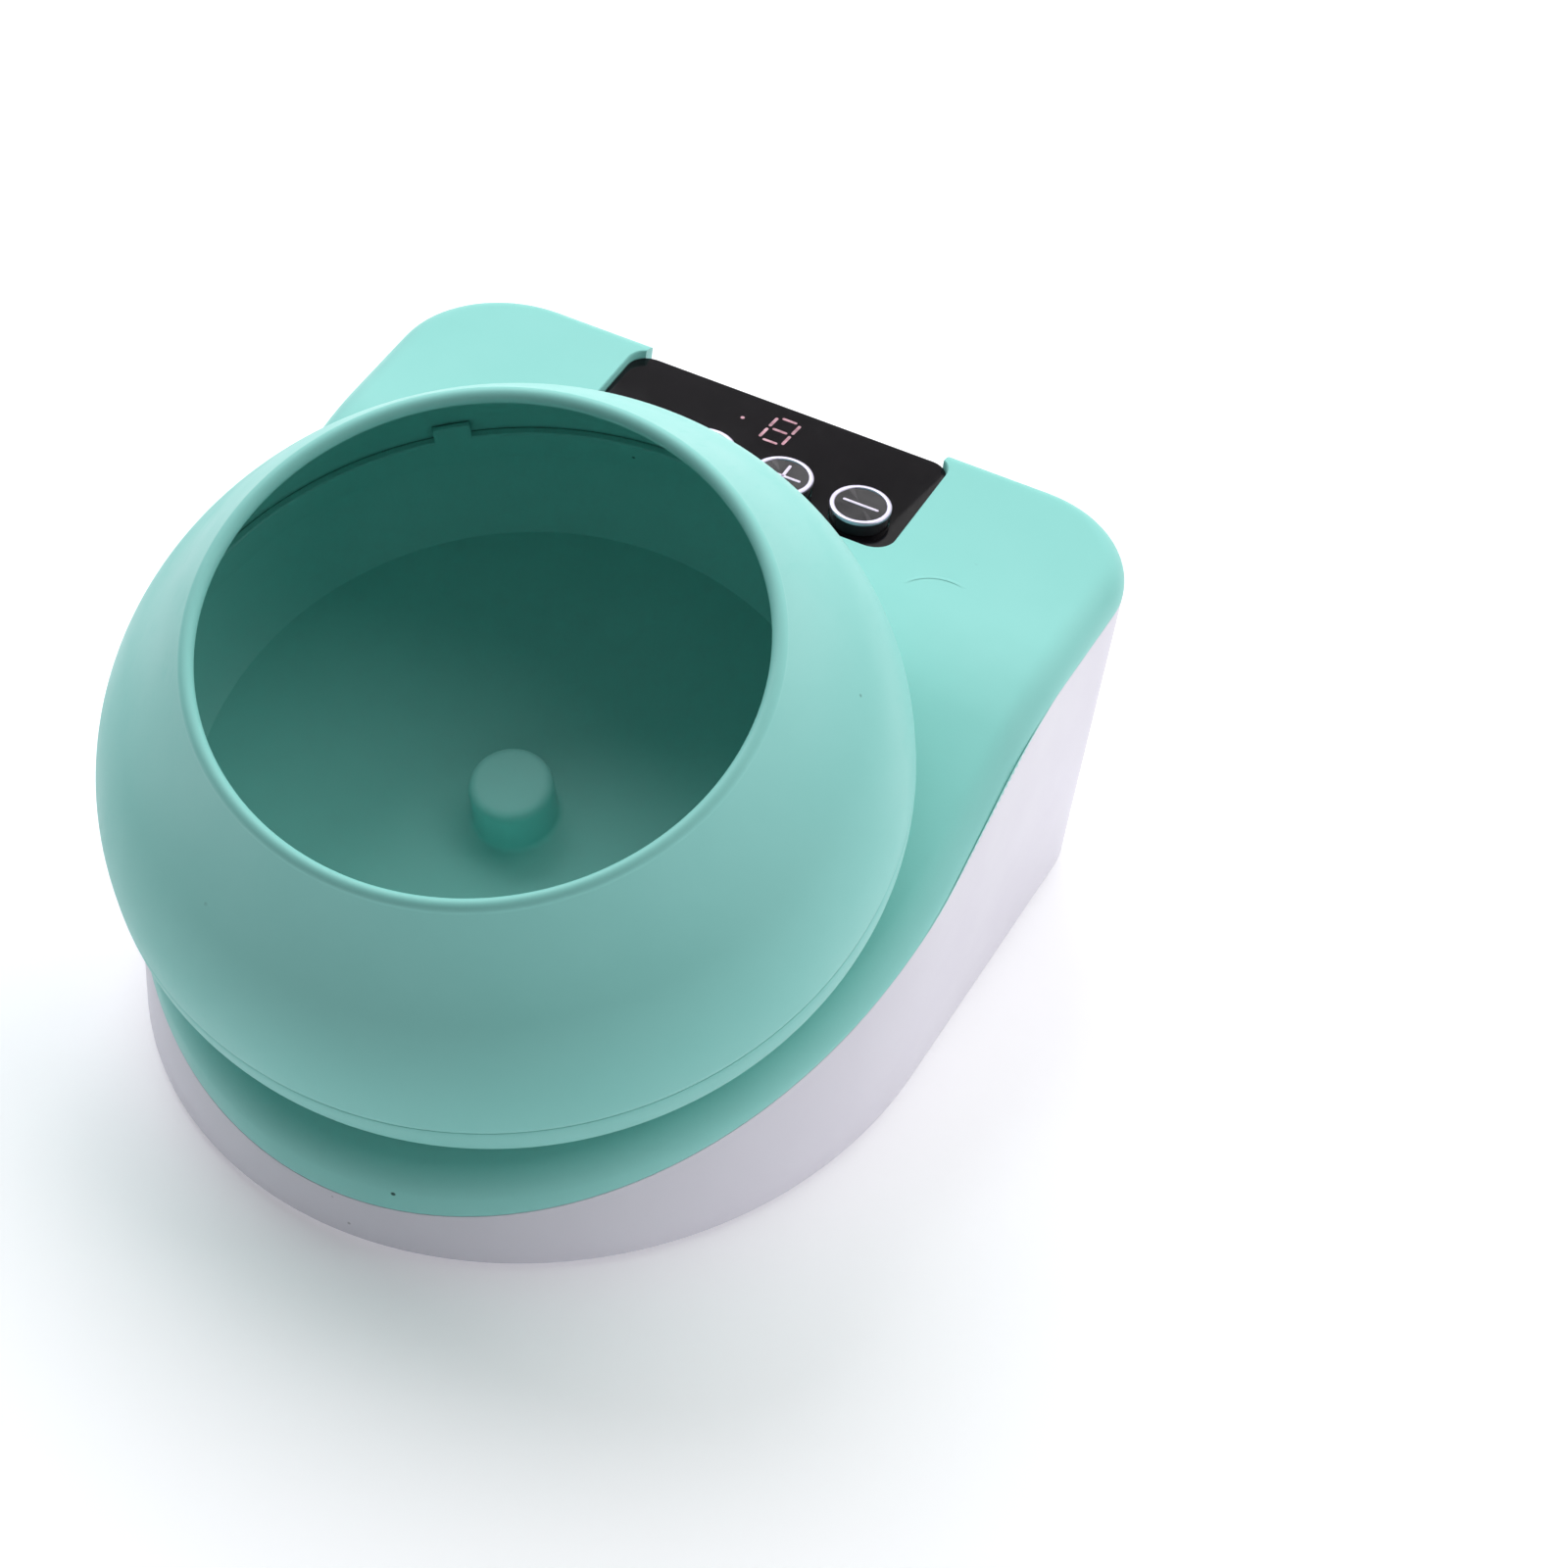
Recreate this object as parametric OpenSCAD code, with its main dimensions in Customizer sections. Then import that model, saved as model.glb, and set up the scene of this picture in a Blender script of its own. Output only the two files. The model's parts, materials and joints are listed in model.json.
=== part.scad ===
// Electric bead spinner: a bowl that leans forward and turns on a motor-driven spindle,
// on a wedge-shaped two-part case with a control panel on its rear deck.
//
// It stands on the XY plane. -Y is the front, +Y the rear and +Z is up. The origin is on the
// table under the middle of the whole object. Sizes along Y count from the case's widest line,
// where the rounded front meets the straight sides, and placed() moves every part from there.

/* [Case] */
// Half of the case's width
half_w = 78; // [74:1:84]
// Length of the rounded front, from the widest line to the front end
front_len = 94.3; // [90:0.1:100]
// Distance from the widest line to the rear wall
rear_len = 96; // [94:1:104]
// Radius of the rear corners, seen from above
corner_r = 24; // [20:1:28]
// How far the side walls lean in from the deck down to the table
draft = 2.6; // [1:0.1:4]
// Height of the level rear deck
deck_z = 75; // [73:1:80]
// Radius of the rounded edge round the deck
edge_r = 6; // [5:0.5:7]
// Thickness of the case's walls
wall = 2.6; // [2.2:0.1:3]
// Height of the seam between base and cover at the front end
seam_front_z = 13; // [11:0.5:15]
// Height of the seam under the level rear deck
seam_rear_z = 68.3; // [66:0.1:69]
// Slope of the seam along the sides
seam_slope = 23.7; // [22:0.1:25]
// How far the rubber feet stand out below the base
foot_h = 1.5; // [1:0.1:3]

/* [Bowl] */
// Forward lean of the bowl and of the deck under it
tilt = 21.8; // [18:0.1:25]
// Place of the bowl's widest circle, front to rear
bowl_y = -32.5; // [-36:0.1:-30]
// Height of the centre of the bowl's widest circle
bowl_z = 68.15; // [67:0.05:72]
// Outer radius of the bowl at its widest
bowl_r = 74.6; // [70:0.1:76]
// Thickness of the bowl's wall
bowl_wall = 2.4; // [2:0.1:3]
// Depth of the pan's outer bottom below the widest circle
pan_depth = 16.2; // [15:0.1:17]
// Radius of the rounded corner between the pan's bottom and side
pan_corner = 18; // [12:0.5:18]
// Height of the joint between pan and hood above the widest circle
seam_h = 3.5; // [2:0.5:5]
// Radius of the middle of the rolled rim
rim_r = 52.4; // [50:0.1:56]
// Height of the middle of the rolled rim above the widest circle
rim_h = 46.5; // [43:0.5:48]
// Radius of the bead that the rim is rolled to
rim_bead = 1.5; // [1.2:0.1:2.6]
// Radius of the hood's shoulder
shoulder_r = 40; // [34:1:44]
// Radius of the post in the middle of the bowl
post_r = 7.9; // [7.5:0.1:9]
// Height of the post's top, below the widest circle
post_top = 2.6; // [2:0.1:4]
// Radius of the flat floor inside the bowl
pan_floor_r = 61.2; // [58:0.1:63]
// Radius of the curve from that floor up to the bowl's wall
pan_side_r = 22.3; // [18:0.1:40]

/* [Panel] */
// Half of the control panel's width
panel_half = 34.7; // [34:0.1:36]
// Front edge of the control panel
panel_front = 57.4; // [56:0.1:60]
// Rear edge of the control panel
panel_rear = 91; // [90:0.1:92]
// Corner radius of the control panel
panel_corner = 4.5; // [3:0.1:5]
// Distance between neighbouring buttons
button_pitch = 16.8; // [15:0.1:17]
// Place of the row of buttons, front to rear
button_y = 66.6; // [66:0.1:70]
// Outer radius of the bright ring round each button
ring_r = 6.17; // [5.8:0.01:6.5]
// How far the buttons stand out of the panel
button_rise = 3.2; // [1.8:0.1:3.6]
// Travel of each button
button_travel = 0.5; // [0.3:0.1:0.5]
// Place of the digit, front to rear
digit_y = 83; // [82:0.1:84]

/* [Drive] */
// Teeth on the spindle's gear
gear_teeth = 48; // [44:2:48]
// Teeth on the motor's pinion
pinion_teeth = 14; // [14:1:16]
// Module of both gears
gear_module = 1; // [0.8:0.1:1]
// Radius of the spindle
spindle_r = 3; // [2.5:0.1:3]
// Radius of the motor's can
motor_r = 12.2; // [10:0.1:12.2]
// Length of the motor, can and end cap together
motor_len = 30.8; // [25:0.1:30.8]

/* [Hidden] */
$fn = 96;
mint = [0.62, 0.87, 0.83];
white = [0.93, 0.92, 0.95];
black = [0.1, 0.09, 0.1];
chrome = [0.84, 0.83, 0.88];
steel = [0.68, 0.69, 0.71];
bronze = [0.72, 0.52, 0.30];
nylon = [0.92, 0.90, 0.84];

eps = 0.01;                  // small overrun that keeps cuts clean
far = 150;                   // larger than any half of the case
lap = 3;                     // depth of the cover's locating lip below the seam
lap_gap = 0.2;               // clearance between that lip and the base wall
lip_t = 1.4;                 // thickness of that lip
floor_t = 3;                 // thickness of the base's floor
blend_r = 65;                // radius where the leaning deck turns level
deck_h = -19.5;              // leaning deck, measured along the spindle from the bowl's centre
deck_low = deck_h - wall;    // underside of the leaning deck
notch_half = panel_half - 2; // half width of the notch behind the panel

// Case screws: places in the XY plane
screw_spots = [[44.5, 50], [66, 2], [40, -60]];
post_radius = 4.2;
screw_grip = 6;              // base thickness that each case screw clamps
screw_bite = 7;              // length of case screw inside the cover's post
foot_spots = [["front", 44, -40], ["rear", 56, 72]];
foot_r = 8;

// Panel stack, measured down from the level deck
window_sink = 1.6;           // window's face below the deck
window_t = 1.6;
shelf_t = 1.6;               // cover's shelf that carries the window
shelf_z = deck_z - window_sink - window_t;
shelf_low = shelf_z - shelf_t;
window_z = deck_z - window_sink;
board_t = 1.6;
board_post_x = 30.4;
board_post_y = [61.6, 84.6];
board_screw_r = 1.05;
led_x = -7.7;
led_r = 1.5;
led_len = 5.5;
lens_r = 0.5;
segment_depth = 0.5;         // depth of the lit segments in the window
board_z = deck_z - 10.7;     // board's upper face
ring_w = 1.05;               // width of the bright ring
ring_h = 0.85;               // height of the bright ring
cap_r = ring_r - 0.35;       // button's side under the ring
cap_gap = 0.3;               // clearance between button and window
face_sink = 0.2;             // button's face below the top of its ring
face_z = window_z + button_rise - face_sink;
sign_depth = 0.3;
proud = 0.03;                // how far segments and lens stand out of the window
stem_r = 2.2;
flange_r = 3.6;
flange_t = 1;
plunger_r = 1.7;
switch_size = 6;
switch_h = 3.5;
button_names = ["power", "mode", "plus", "minus"];
digit_w = 5.7;
digit_h = 8.8;
stroke = 0.65;               // width of a lit segment
digit_x = 0.5;                // place of the digit, to the right of the middle
slant = 4;                   // lean of the digit, in degrees

// Drive, measured along the spindle from the bowl's centre
gear_top = -26.5;
gear_t = 5;
boss_drop = 3;               // gear's hub below its teeth
plate_top = -36;
plate_t = 3;
plate_low = plate_top - plate_t;
plate_x = 33;                // plate's posts, side to side
plate_front = -24;
plate_back = 42;
plate_post_r = 4.5;
housing_low = -55;
housing_r = 8;
housing_flange_r = 16;
bushing_r = 5;
bushing_flange_r = 7;
bushing_len = 9;
flange_thick = 1;
running_gap = 0.03;          // radial clearance of the spindle in its bushings
centre_distance = gear_module * (gear_teeth + pinion_teeth) / 2;
motor_low = plate_low - motor_len;
end_cap_len = 3.8;
hub_top = -pan_depth - 0.05;
hub_flange_t = 2.3;
hub_flange_r = 15;
hex_r = 5.2;                 // corner radius of the hub's hexagonal drive
hex_gap = 0.25;
hex_len = 10;
clip_low = housing_low - flange_thick - 1;
clip_t = 0.8;
clip_groove = 0.6;           // depth of the clip's groove in the spindle
plate_screw_r = 12;          // housing screws' distance from the spindle
motor_screw_x = 8;           // motor screws' distance from the motor's axis

shoulder_base = 5;           // height of the shoulder's start above the widest circle
shoulder_lean = 38;          // angle through which the shoulder curves, in degrees
lip_h = 2.5;                 // height of the pan's lip inside the hood
tab_h = 4;                   // height of the snap tabs on that lip
curve_top = -1;              // where the curve of the pan's inside starts
pan_lip_r = bowl_r - bowl_wall - 0.3;
tab_w = 7;
post_edge = 2;               // rounding of the top of the bowl's post
inlet_z = 20;                // height of the power inlet in the rear wall
inlet_r = 4;
nut_gap = 0.3;               // room between the inlet's nut and the wall inside

// Front end of the bowl, and how far back the case stands so that the origin is in the middle
bowl_front = bowl_y - (bowl_r - shoulder_r) * cos(tilt) - shoulder_base * sin(tilt) - shoulder_r;
middle = (rear_len + bowl_front) / 2;

// ---------- Shapes shared by several parts ----------

// Moves a part drawn from the case's widest line to its place round the origin
module placed() {
    translate([0, -middle, 0])
        children();
}

// Outline of the case seen from above, moved in by inset: half an ellipse in front,
// straight sides and two round corners at the rear.
function outline(inset) = concat(
    [for (a = [180 : 5 : 360]) [(half_w - inset) * cos(a), (front_len - inset) * sin(a)]],
    [for (a = [0 : 7.5 : 90]) [half_w - corner_r, rear_len - corner_r] + (corner_r - inset) * [cos(a), sin(a)]],
    [for (a = [90 : 7.5 : 180]) [corner_r - half_w, rear_len - corner_r] + (corner_r - inset) * [cos(a), sin(a)]]);

// Height of the leaning deck's plane over the origin
deck_zero = bowl_z - bowl_y * tan(tilt) + deck_h / cos(tilt);

// Height at y of a line that rises at a slope from z0 over the origin, then turns level at z1
function profile(y, slope, z0, z1, r) = let (
    level_from = (z1 - z0) / tan(slope) + r * tan(slope / 2),
    turn_from = level_from - r * sin(slope))
    y > level_from ? z1 :
    y > turn_from ? z1 - r + sqrt(r * r - pow(level_from - y, 2)) :
    z0 + y * tan(slope);

// Height of the deck at y, moved in by inset at right angles to its surface
function deck_top(y, inset = 0) =
    profile(y, tilt, deck_zero - inset / cos(tilt), deck_z - inset, blend_r - inset);

// Height at y of the seam between base and cover
function seam_z(y) = profile(y, seam_slope, seam_front_z + front_len * tan(seam_slope), seam_rear_z, blend_r);

// Places front to rear where a side profile is drawn: its ends and the steps of its bend
bend_steps = [for (y = [18 : 3 : 60]) y];

// Everything below a line of points [y, z], across the whole width
module below(line) {
    rotate([90, 0, 90])
        translate([0, 0, -far])
            linear_extrude(2 * far)
                polygon(concat(line, [[far, -far], [-far, -far]]));
}

module below_deck(inset = 0) {
    below([for (y = concat(-far, bend_steps, far)) [y, deck_top(y, inset)]]);
}

module below_seam(drop = 0) {
    below([for (y = concat(-far, bend_steps, far)) [y, seam_z(y) - drop]]);
}

// The space inside the outline, leaning in towards the table by the draft
module walls(inset) {
    hull() {
        translate([0, 0, foot_h])
            linear_extrude(eps)
                polygon(outline(draft + inset));
        translate([0, 0, deck_z])
            linear_extrude(eps)
                polygon(outline(inset));
    }
}

// Whole outer body, base and cover together, with the deck's edge rounded
module body() {
    side = half_w - edge_r;
    bend = [for (y = bend_steps, x = [-side, side]) [x, y]];
    rise = 0.1;              // lifts the hull a little, so that the deck is cut smooth
    intersection() {
        hull() {
            translate([0, 0, foot_h])
                linear_extrude(eps)
                    polygon(outline(draft));
            for (p = concat(outline(edge_r), bend))
                translate([p.x, p.y, deck_top(p.y, edge_r) + rise])
                    sphere(edge_r, $fn = 24);
        }
        below_deck();
    }
}

// Space inside the case
module cavity() {
    intersection() {
        walls(wall);
        below_deck(wall);
        translate([-far, -far, foot_h + floor_t])
            cube(2 * far);
    }
}

// Places a child in the drive's own frame: +Z along the spindle, origin at the bowl's centre
module on_spindle() {
    translate([0, bowl_y, bowl_z])
        rotate([tilt, 0, 0])
            children();
}

// A cylinder between two heights
module rod(r, low, high, sides = 96) {
    translate([0, 0, low])
        cylinder(r = r, h = high - low, $fn = sides);
}

// A ring between two heights
module tube(r_out, r_in, low, high) {
    difference() {
        rod(r_out, low, high);
        rod(r_in, low - eps, high + eps);
    }
}

module mirrored() {
    for (side = [-1, 1])
        scale_x(side)
            children();
}

module scale_x(side) {
    mirror([side < 0 ? 1 : 0, 0, 0])
        children();
}

// Points on an arc, from its centre, radius, first and last angle
function arc(centre, r, from, to, steps) = [for (k = [0 : steps])
    centre + r * [cos(from + (to - from) * k / steps), sin(from + (to - from) * k / steps)]];

// Points on an arc of radius r that bulges outward between two points of a profile
function bulge(a, b, r, steps) = let (
    chord = b - a,
    reach = sqrt(r * r - chord * chord / 4),
    centre = (a + b) / 2 + reach / norm(chord) * [chord.y, -chord.x])
    arc(centre, r, atan2(a.y - centre.y, a.x - centre.x), atan2(b.y - centre.y, b.x - centre.x), steps);

// A round-cornered rectangle
module rounded(x0, x1, y0, y1, r) {
    translate([x0 + r, y0])
        square([x1 - x0 - 2 * r, y1 - y0]);
    translate([x0, y0 + r])
        square([x1 - x0, y1 - y0 - 2 * r]);
    for (x = [x0 + r, x1 - r], y = [y0 + r, y1 - r])
        translate([x, y])
            circle(r, $fn = 48);
}

// A pan-head screw, point up, with its head's underside at the origin
module screw(r, head_r, head_h, length) {
    difference() {
        union() {
            rod(r, 0, length - r);
            translate([0, 0, length - r])
                cylinder(r1 = r, r2 = r * 0.3, h = r, $fn = 48);
            rod(head_r, -head_h, 0);
        }
        for (turn = [0, 90])
            rotate(turn)
                translate([-head_r * 0.65, -head_h * 0.12, -head_h - eps])
                    cube([head_r * 1.3, head_h * 0.24, head_h * 0.55]);
    }
}

// A round wire through a list of points
module wire(points, r) {
    for (k = [0 : len(points) - 2]) {
        run = points[k + 1] - points[k];
        translate(points[k]) {
            rotate([0, acos(run.z / norm(run)), atan2(run.y, run.x)])
                cylinder(r = r, h = norm(run), $fn = 24);
            if (k > 0)
                sphere(1.15 * r, $fn = 24);
        }
    }
}

// ---------- Case ----------

module rear_block(low, high) {
    translate([-notch_half - wall, panel_rear - wall, low])
        cube([2 * (notch_half + wall), rear_len, high - low]);
}

module base_shell() {
    color(white)
        difference() {
            union() {
                intersection() {
                    difference() {
                        body();
                        cavity();
                    }
                    below_seam();
                }
                intersection() {
                    body();
                    rear_block(seam_rear_z - wall, seam_rear_z);
                }
                mirrored()
                    for (p = screw_spots)
                        translate([p.x, p.y, 0])
                            rod(post_radius, foot_h + floor_t - eps, seam_z(p.y) - lap);
            }
            mirrored() {
                for (p = screw_spots)
                    translate([p.x, p.y, 0]) {
                        rod(1.7, foot_h - eps, seam_z(p.y));
                        rod(3.1, foot_h - eps, seam_z(p.y) - lap - screw_grip);
                    }
                for (f = foot_spots)
                    translate([f[1], f[2], 0])
                        rod(foot_r, foot_h - eps, 2 * foot_h);
            }
            on_rear_wall()
                rod(inlet_r, -1, 2 * wall);
        }
}

// Thin lip that reaches down inside the base and centres the cover
module locating_lip() {
    intersection() {
        difference() {
            walls(wall - lap_gap);
            walls(wall + lap_gap + lip_t);
            difference() {
                below_seam();
                walls(wall + lap_gap);
            }
            translate([-notch_half - 2 * wall, panel_rear - 3 * wall, 0])
                cube([2 * notch_half + 4 * wall, far, far]);
        }
        below_seam(-2);
        difference() {
            translate([-far, -far, 0])
                cube(2 * far);
            below_seam(lap);
        }
    }
}

module panel_outline(grow = 0) {
    rounded(-panel_half - grow, panel_half + grow, panel_front - grow, panel_rear + grow, panel_corner);
}

// Gap in the rear of the cover behind the panel, with its outer corners rounded
module notch_outline() {
    round_r = 3;
    wide = notch_half + round_r;
    difference() {
        translate([-wide, panel_rear])
            square([2 * wide, far]);
        for (side = [-1, 1]) {
            translate([side * wide - round_r, 0])
                square([2 * round_r, rear_len - round_r]);
            translate([side * wide, rear_len - round_r])
                circle(round_r, $fn = 48);
        }
    }
}

module top_cover() {
    color(mint)
        difference() {
            union() {
                difference() {
                    body();
                    cavity();
                    below_seam();
                }
                intersection() {
                    body();
                    rear_block(seam_rear_z, deck_z);
                }
                locating_lip();
                translate([0, 0, shelf_low])
                    linear_extrude(deck_z - wall / 2 - shelf_low)
                        rounded(-panel_half - wall, panel_half + wall, panel_front - wall, panel_rear, panel_corner);
                for (x = [-board_post_x, board_post_x], y = board_post_y)
                    translate([x, y, 0])
                        rod(2.6, board_z, shelf_low + eps);
                mirrored()
                    for (p = screw_spots)
                        intersection() {
                            translate([p.x, p.y, 0])
                                rod(post_radius, seam_z(p.y) - lap, deck_z);
                            below_deck(wall / 2);
                        }
                on_spindle()
                    for (x = [-plate_x, plate_x], y = [plate_front, plate_back])
                        translate([x, y, 0])
                            rod(plate_post_r, plate_top, deck_low + eps);
            }
            translate([0, 0, shelf_z])
                linear_extrude(far)
                    panel_outline(0.1);
            translate([0, 0, seam_rear_z - eps])
                linear_extrude(far)
                    notch_outline();
            for (k = [0 : 3])
                translate([button_x(k), button_y, 0])
                    rod(stem_r + 0.4, shelf_low - eps, deck_z);
            translate([-6.6, digit_y - 5.6, shelf_low - eps])
                cube([13.2, 11.2, far]);
            translate([led_x, digit_y, 0])
                rod(led_r + 0.2, shelf_low - eps, deck_z);
            mirrored()
                for (p = screw_spots)
                    translate([p.x, p.y, 0])
                        rod(1.5, seam_z(p.y) - lap - eps, seam_z(p.y) - lap + screw_bite);
            for (x = [-board_post_x, board_post_x], y = board_post_y)
                translate([x, y, 0])
                    rod(board_screw_r, board_z - eps, board_z + 4.6);
            on_spindle() {
                for (x = [-plate_x, plate_x], y = [plate_front, plate_back])
                    translate([x, y, 0])
                        rod(1.5, plate_top - eps, plate_top + 8);
                rod(spindle_r + 1, deck_low - 1, deck_h + 1);
            }
        }
}

module case_screws() {
    color(steel)
        mirrored()
            for (p = screw_spots)
                translate([p.x, p.y, seam_z(p.y) - lap - screw_grip])
                    screw(1.45, 2.8, 1.8, screw_grip + screw_bite - 0.5);
}

module foot(x, y) {
    color(black)
        translate([x, y, 0])
            rotate_extrude()
                polygon([[0, 0], [foot_r - 0.9, 0], [foot_r - 0.3, 0.5], [foot_r - 0.1, 1.2],
                    [foot_r - 0.1, 2 * foot_h], [0, 2 * foot_h]]);
}

// ---------- Control panel ----------

function button_x(k) = (k - 1.5) * button_pitch;

// A bar of the digit, leaning with it, from its centre and its size
module bar(x, y, w, h) {
    polygon([for (c = [[-1, -1], [1, -1], [1, 1], [-1, 1]]) let (rise = y + c.y * h / 2)
        [digit_x + x + c.x * w / 2 + rise * tan(slant), digit_y + rise]]);
}

// Flat outline of the digit's seven bars
module segment_outline() {
    side = (digit_w - stroke) / 2;
    top = (digit_h - stroke) / 2;
    for (y = [-top, 0, top])
        bar(0, y, digit_w - 3.7 * stroke, stroke);
    for (x = [-side, side], y = [-top / 2, top / 2])
        bar(x, y, stroke, digit_h / 2 - 1.6 * stroke);
}

module panel_window() {
    color(black)
        difference() {
            translate([0, 0, shelf_z])
                linear_extrude(window_t)
                    panel_outline();
            for (k = [0 : 3])
                translate([button_x(k), button_y, 0])
                    rod(cap_r + cap_gap, shelf_z - eps, deck_z);
            translate([0, 0, window_z - segment_depth])
                linear_extrude(1)
                    segment_outline();
            translate([led_x, digit_y, 0])
                rod(lens_r, window_z - segment_depth, deck_z);
        }
}

module display_segments() {
    color([0.95, 0.72, 0.78])
        translate([0, 0, window_z - segment_depth])
            linear_extrude(segment_depth + proud)
                segment_outline();
}

module indicator_lens() {
    color([0.95, 0.8, 0.82])
        translate([led_x, digit_y, 0])
            rod(lens_r, window_z - segment_depth, window_z + proud);
}

// Bright ring pressed onto the top edge of a button
module button_ring(k) {
    top = window_z + button_rise;
    inner = ring_r - ring_w;
    round_r = 0.45;
    color(chrome)
        translate([button_x(k), button_y, 0])
            rotate_extrude()
                polygon(concat(
                    [[inner, top - ring_h], [ring_r, top - ring_h]],
                    arc([ring_r - round_r, top - round_r], round_r, 0, 90, 4),
                    arc([inner + round_r, top - round_r], round_r, 90, 180, 4)));
}

// Outline of the sign on a button's face: power, turning direction, plus or minus
module sign_outline(k) {
    if (k == 0) {
        difference() {
            circle(2.7);
            circle(2);
            translate([-1.1, 0])
                square([2.2, 3]);
        }
        translate([-0.35, 0.6])
            square([0.7, 2.6]);
    }
    if (k == 1)
        for (side = [0, 180])
            rotate(side)
                polygon([[-2.8, 0.5], [3, 0.5], [1.2, 2.4], [1.2, 1.2], [-2.8, 1.2]]);
    if (k >= 2)
        square([7.6, 0.7], center = true);
    if (k == 2)
        square([0.7, 7.6], center = true);
}

// Light-coloured sign, let into the button's face and standing a little proud
module button_sign(k) {
    color([0.85, 0.82, 0.88])
        translate([button_x(k), button_y, face_z - sign_depth])
            linear_extrude(sign_depth + proud)
                sign_outline(k);
}

module button_cap(k) {
    color(black)
        translate([button_x(k), button_y, 0])
            difference() {
                union() {
                    rod(cap_r, shelf_z + button_travel + 0.1, window_z + button_rise - ring_h);
                    rod(ring_r - ring_w, shelf_z + button_travel + 0.1, face_z);
                    rod(stem_r, shelf_low - flange_t - 0.2, shelf_z + button_travel + 0.2);
                    rod(flange_r, shelf_low - flange_t - 0.2, shelf_low - 0.2);
                }
                translate([0, 0, face_z - sign_depth])
                    linear_extrude(1)
                        sign_outline(k);
            }
}

module plunger(k) {
    color([0.25, 0.25, 0.27])
        translate([button_x(k), button_y, 0])
            rod(plunger_r, board_z + switch_h - 1.2, shelf_low - flange_t - 0.2);
}

module tact_switch(k) {
    color(steel)
        translate([button_x(k), button_y, 0])
            difference() {
                translate([-switch_size / 2, -switch_size / 2, board_z])
                    cube([switch_size, switch_size, switch_h]);
                rod(plunger_r + 0.2, board_z + switch_h - 1.2 - button_travel - 0.2, board_z + switch_h + 1);
            }
}

module control_board() {
    color([0.1, 0.38, 0.2])
        difference() {
            translate([0, 0, board_z - board_t])
                linear_extrude(board_t)
                    rounded(-33.2, 33.2, 58.8, 87.8, 1.5);
            for (x = [-board_post_x, board_post_x], y = board_post_y)
                translate([x, y, 0])
                    rod(board_screw_r + 0.15, board_z - 2 * board_t, board_z + 1);
        }
}

module board_screws() {
    color(steel)
        for (x = [-board_post_x, board_post_x], y = board_post_y)
            translate([x, y, board_z - board_t])
                screw(1, 2, 1.2, 5.6);
}

module display_module() {
    color([0.85, 0.85, 0.86])
        translate([-6, digit_y - 5, board_z])
            cube([12, 10, shelf_z - board_z - 0.2]);
}

module indicator_led() {
    color([0.9, 0.3, 0.3])
        translate([led_x, digit_y, board_z]) {
            rod(led_r, 0, led_len);
            translate([0, 0, led_len])
                sphere(led_r, $fn = 48);
        }
}

module driver_chip() {
    color(black) {
        translate([12, 77, board_z - board_t - 1.5])
            cube([9.9, 3.9, 1.5]);
        for (k = [0 : 7], y = [76, 80.9])
            translate([12.3 + k * 1.27, y, board_z - board_t - 0.3])
                cube([0.4, 1, 0.3]);
    }
}

// Two-pin wire connector hanging under the board
module connector(x) {
    color(nylon)
        translate([x - 3, 62, board_z - board_t - 6])
            difference() {
                cube([6, 5, 6]);
                translate([0.8, 0.8, -eps])
                    cube([4.4, 3.4, 4]);
            }
}

// ---------- Drive ----------

// Roll angle and polar angle of an involute of base radius rb at radius r
function roll(r, rb) = sqrt(pow(max(r / rb, 1), 2) - 1);
function sweep(r, rb) = roll(r, rb) * 180 / PI - atan(roll(r, rb));

// Outline of a spur gear with involute flanks, one tooth pointing along +Y
function gear_outline(teeth, m, slack) = let (
    rp = teeth * m / 2,
    rb = rp * cos(20),
    tip = rp + 0.9 * m,
    root = rp - 1.25 * m,
    low = max(rb, root),
    half = 90 / teeth - slack + sweep(rp, rb),
    radii = [for (k = [0 : 4]) low + (tip - low) * k / 4]) [
    for (i = [0 : teeth - 1]) let (turn = 90 + i * 360 / teeth) each concat(
        [root * [cos(turn - half), sin(turn - half)]],
        [for (r = radii) let (a = turn - half + sweep(r, rb)) r * [cos(a), sin(a)]],
        [for (k = [4 : -1 : 0]) let (a = turn + half - sweep(radii[k], rb)) radii[k] * [cos(a), sin(a)]],
        [root * [cos(turn + half), sin(turn + half)]])];

module drive_plate() {
    color(steel)
        on_spindle()
            difference() {
                translate([0, 0, plate_low])
                    linear_extrude(plate_t)
                        rounded(-plate_x - 5, plate_x + 5, plate_front - 5, plate_back + 5, 5);
                rod(bushing_r, plate_low - 1, plate_top + 1);
                for (x = [-plate_x, plate_x], y = [plate_front, plate_back])
                    translate([x, y, 0])
                        rod(1.7, plate_low - 1, plate_top + 1);
                for (a = [90 : 120 : 330])
                    rotate(a)
                        translate([plate_screw_r, 0, 0])
                            rod(1.25, plate_low - 1, plate_top + 1);
                translate([0, centre_distance, 0]) {
                    rod(3.1, plate_low - 1, plate_top + 1);
                    for (x = [-motor_screw_x, motor_screw_x])
                        translate([x, 0, 0])
                            rod(1.35, plate_low - 1, plate_top + 1);
                }
            }
}

module plate_screws() {
    color(steel)
        on_spindle()
            for (x = [-plate_x, plate_x], y = [plate_front, plate_back])
                translate([x, y, plate_low])
                    screw(1.45, 2.8, 1.8, plate_t + 7);
}

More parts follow.
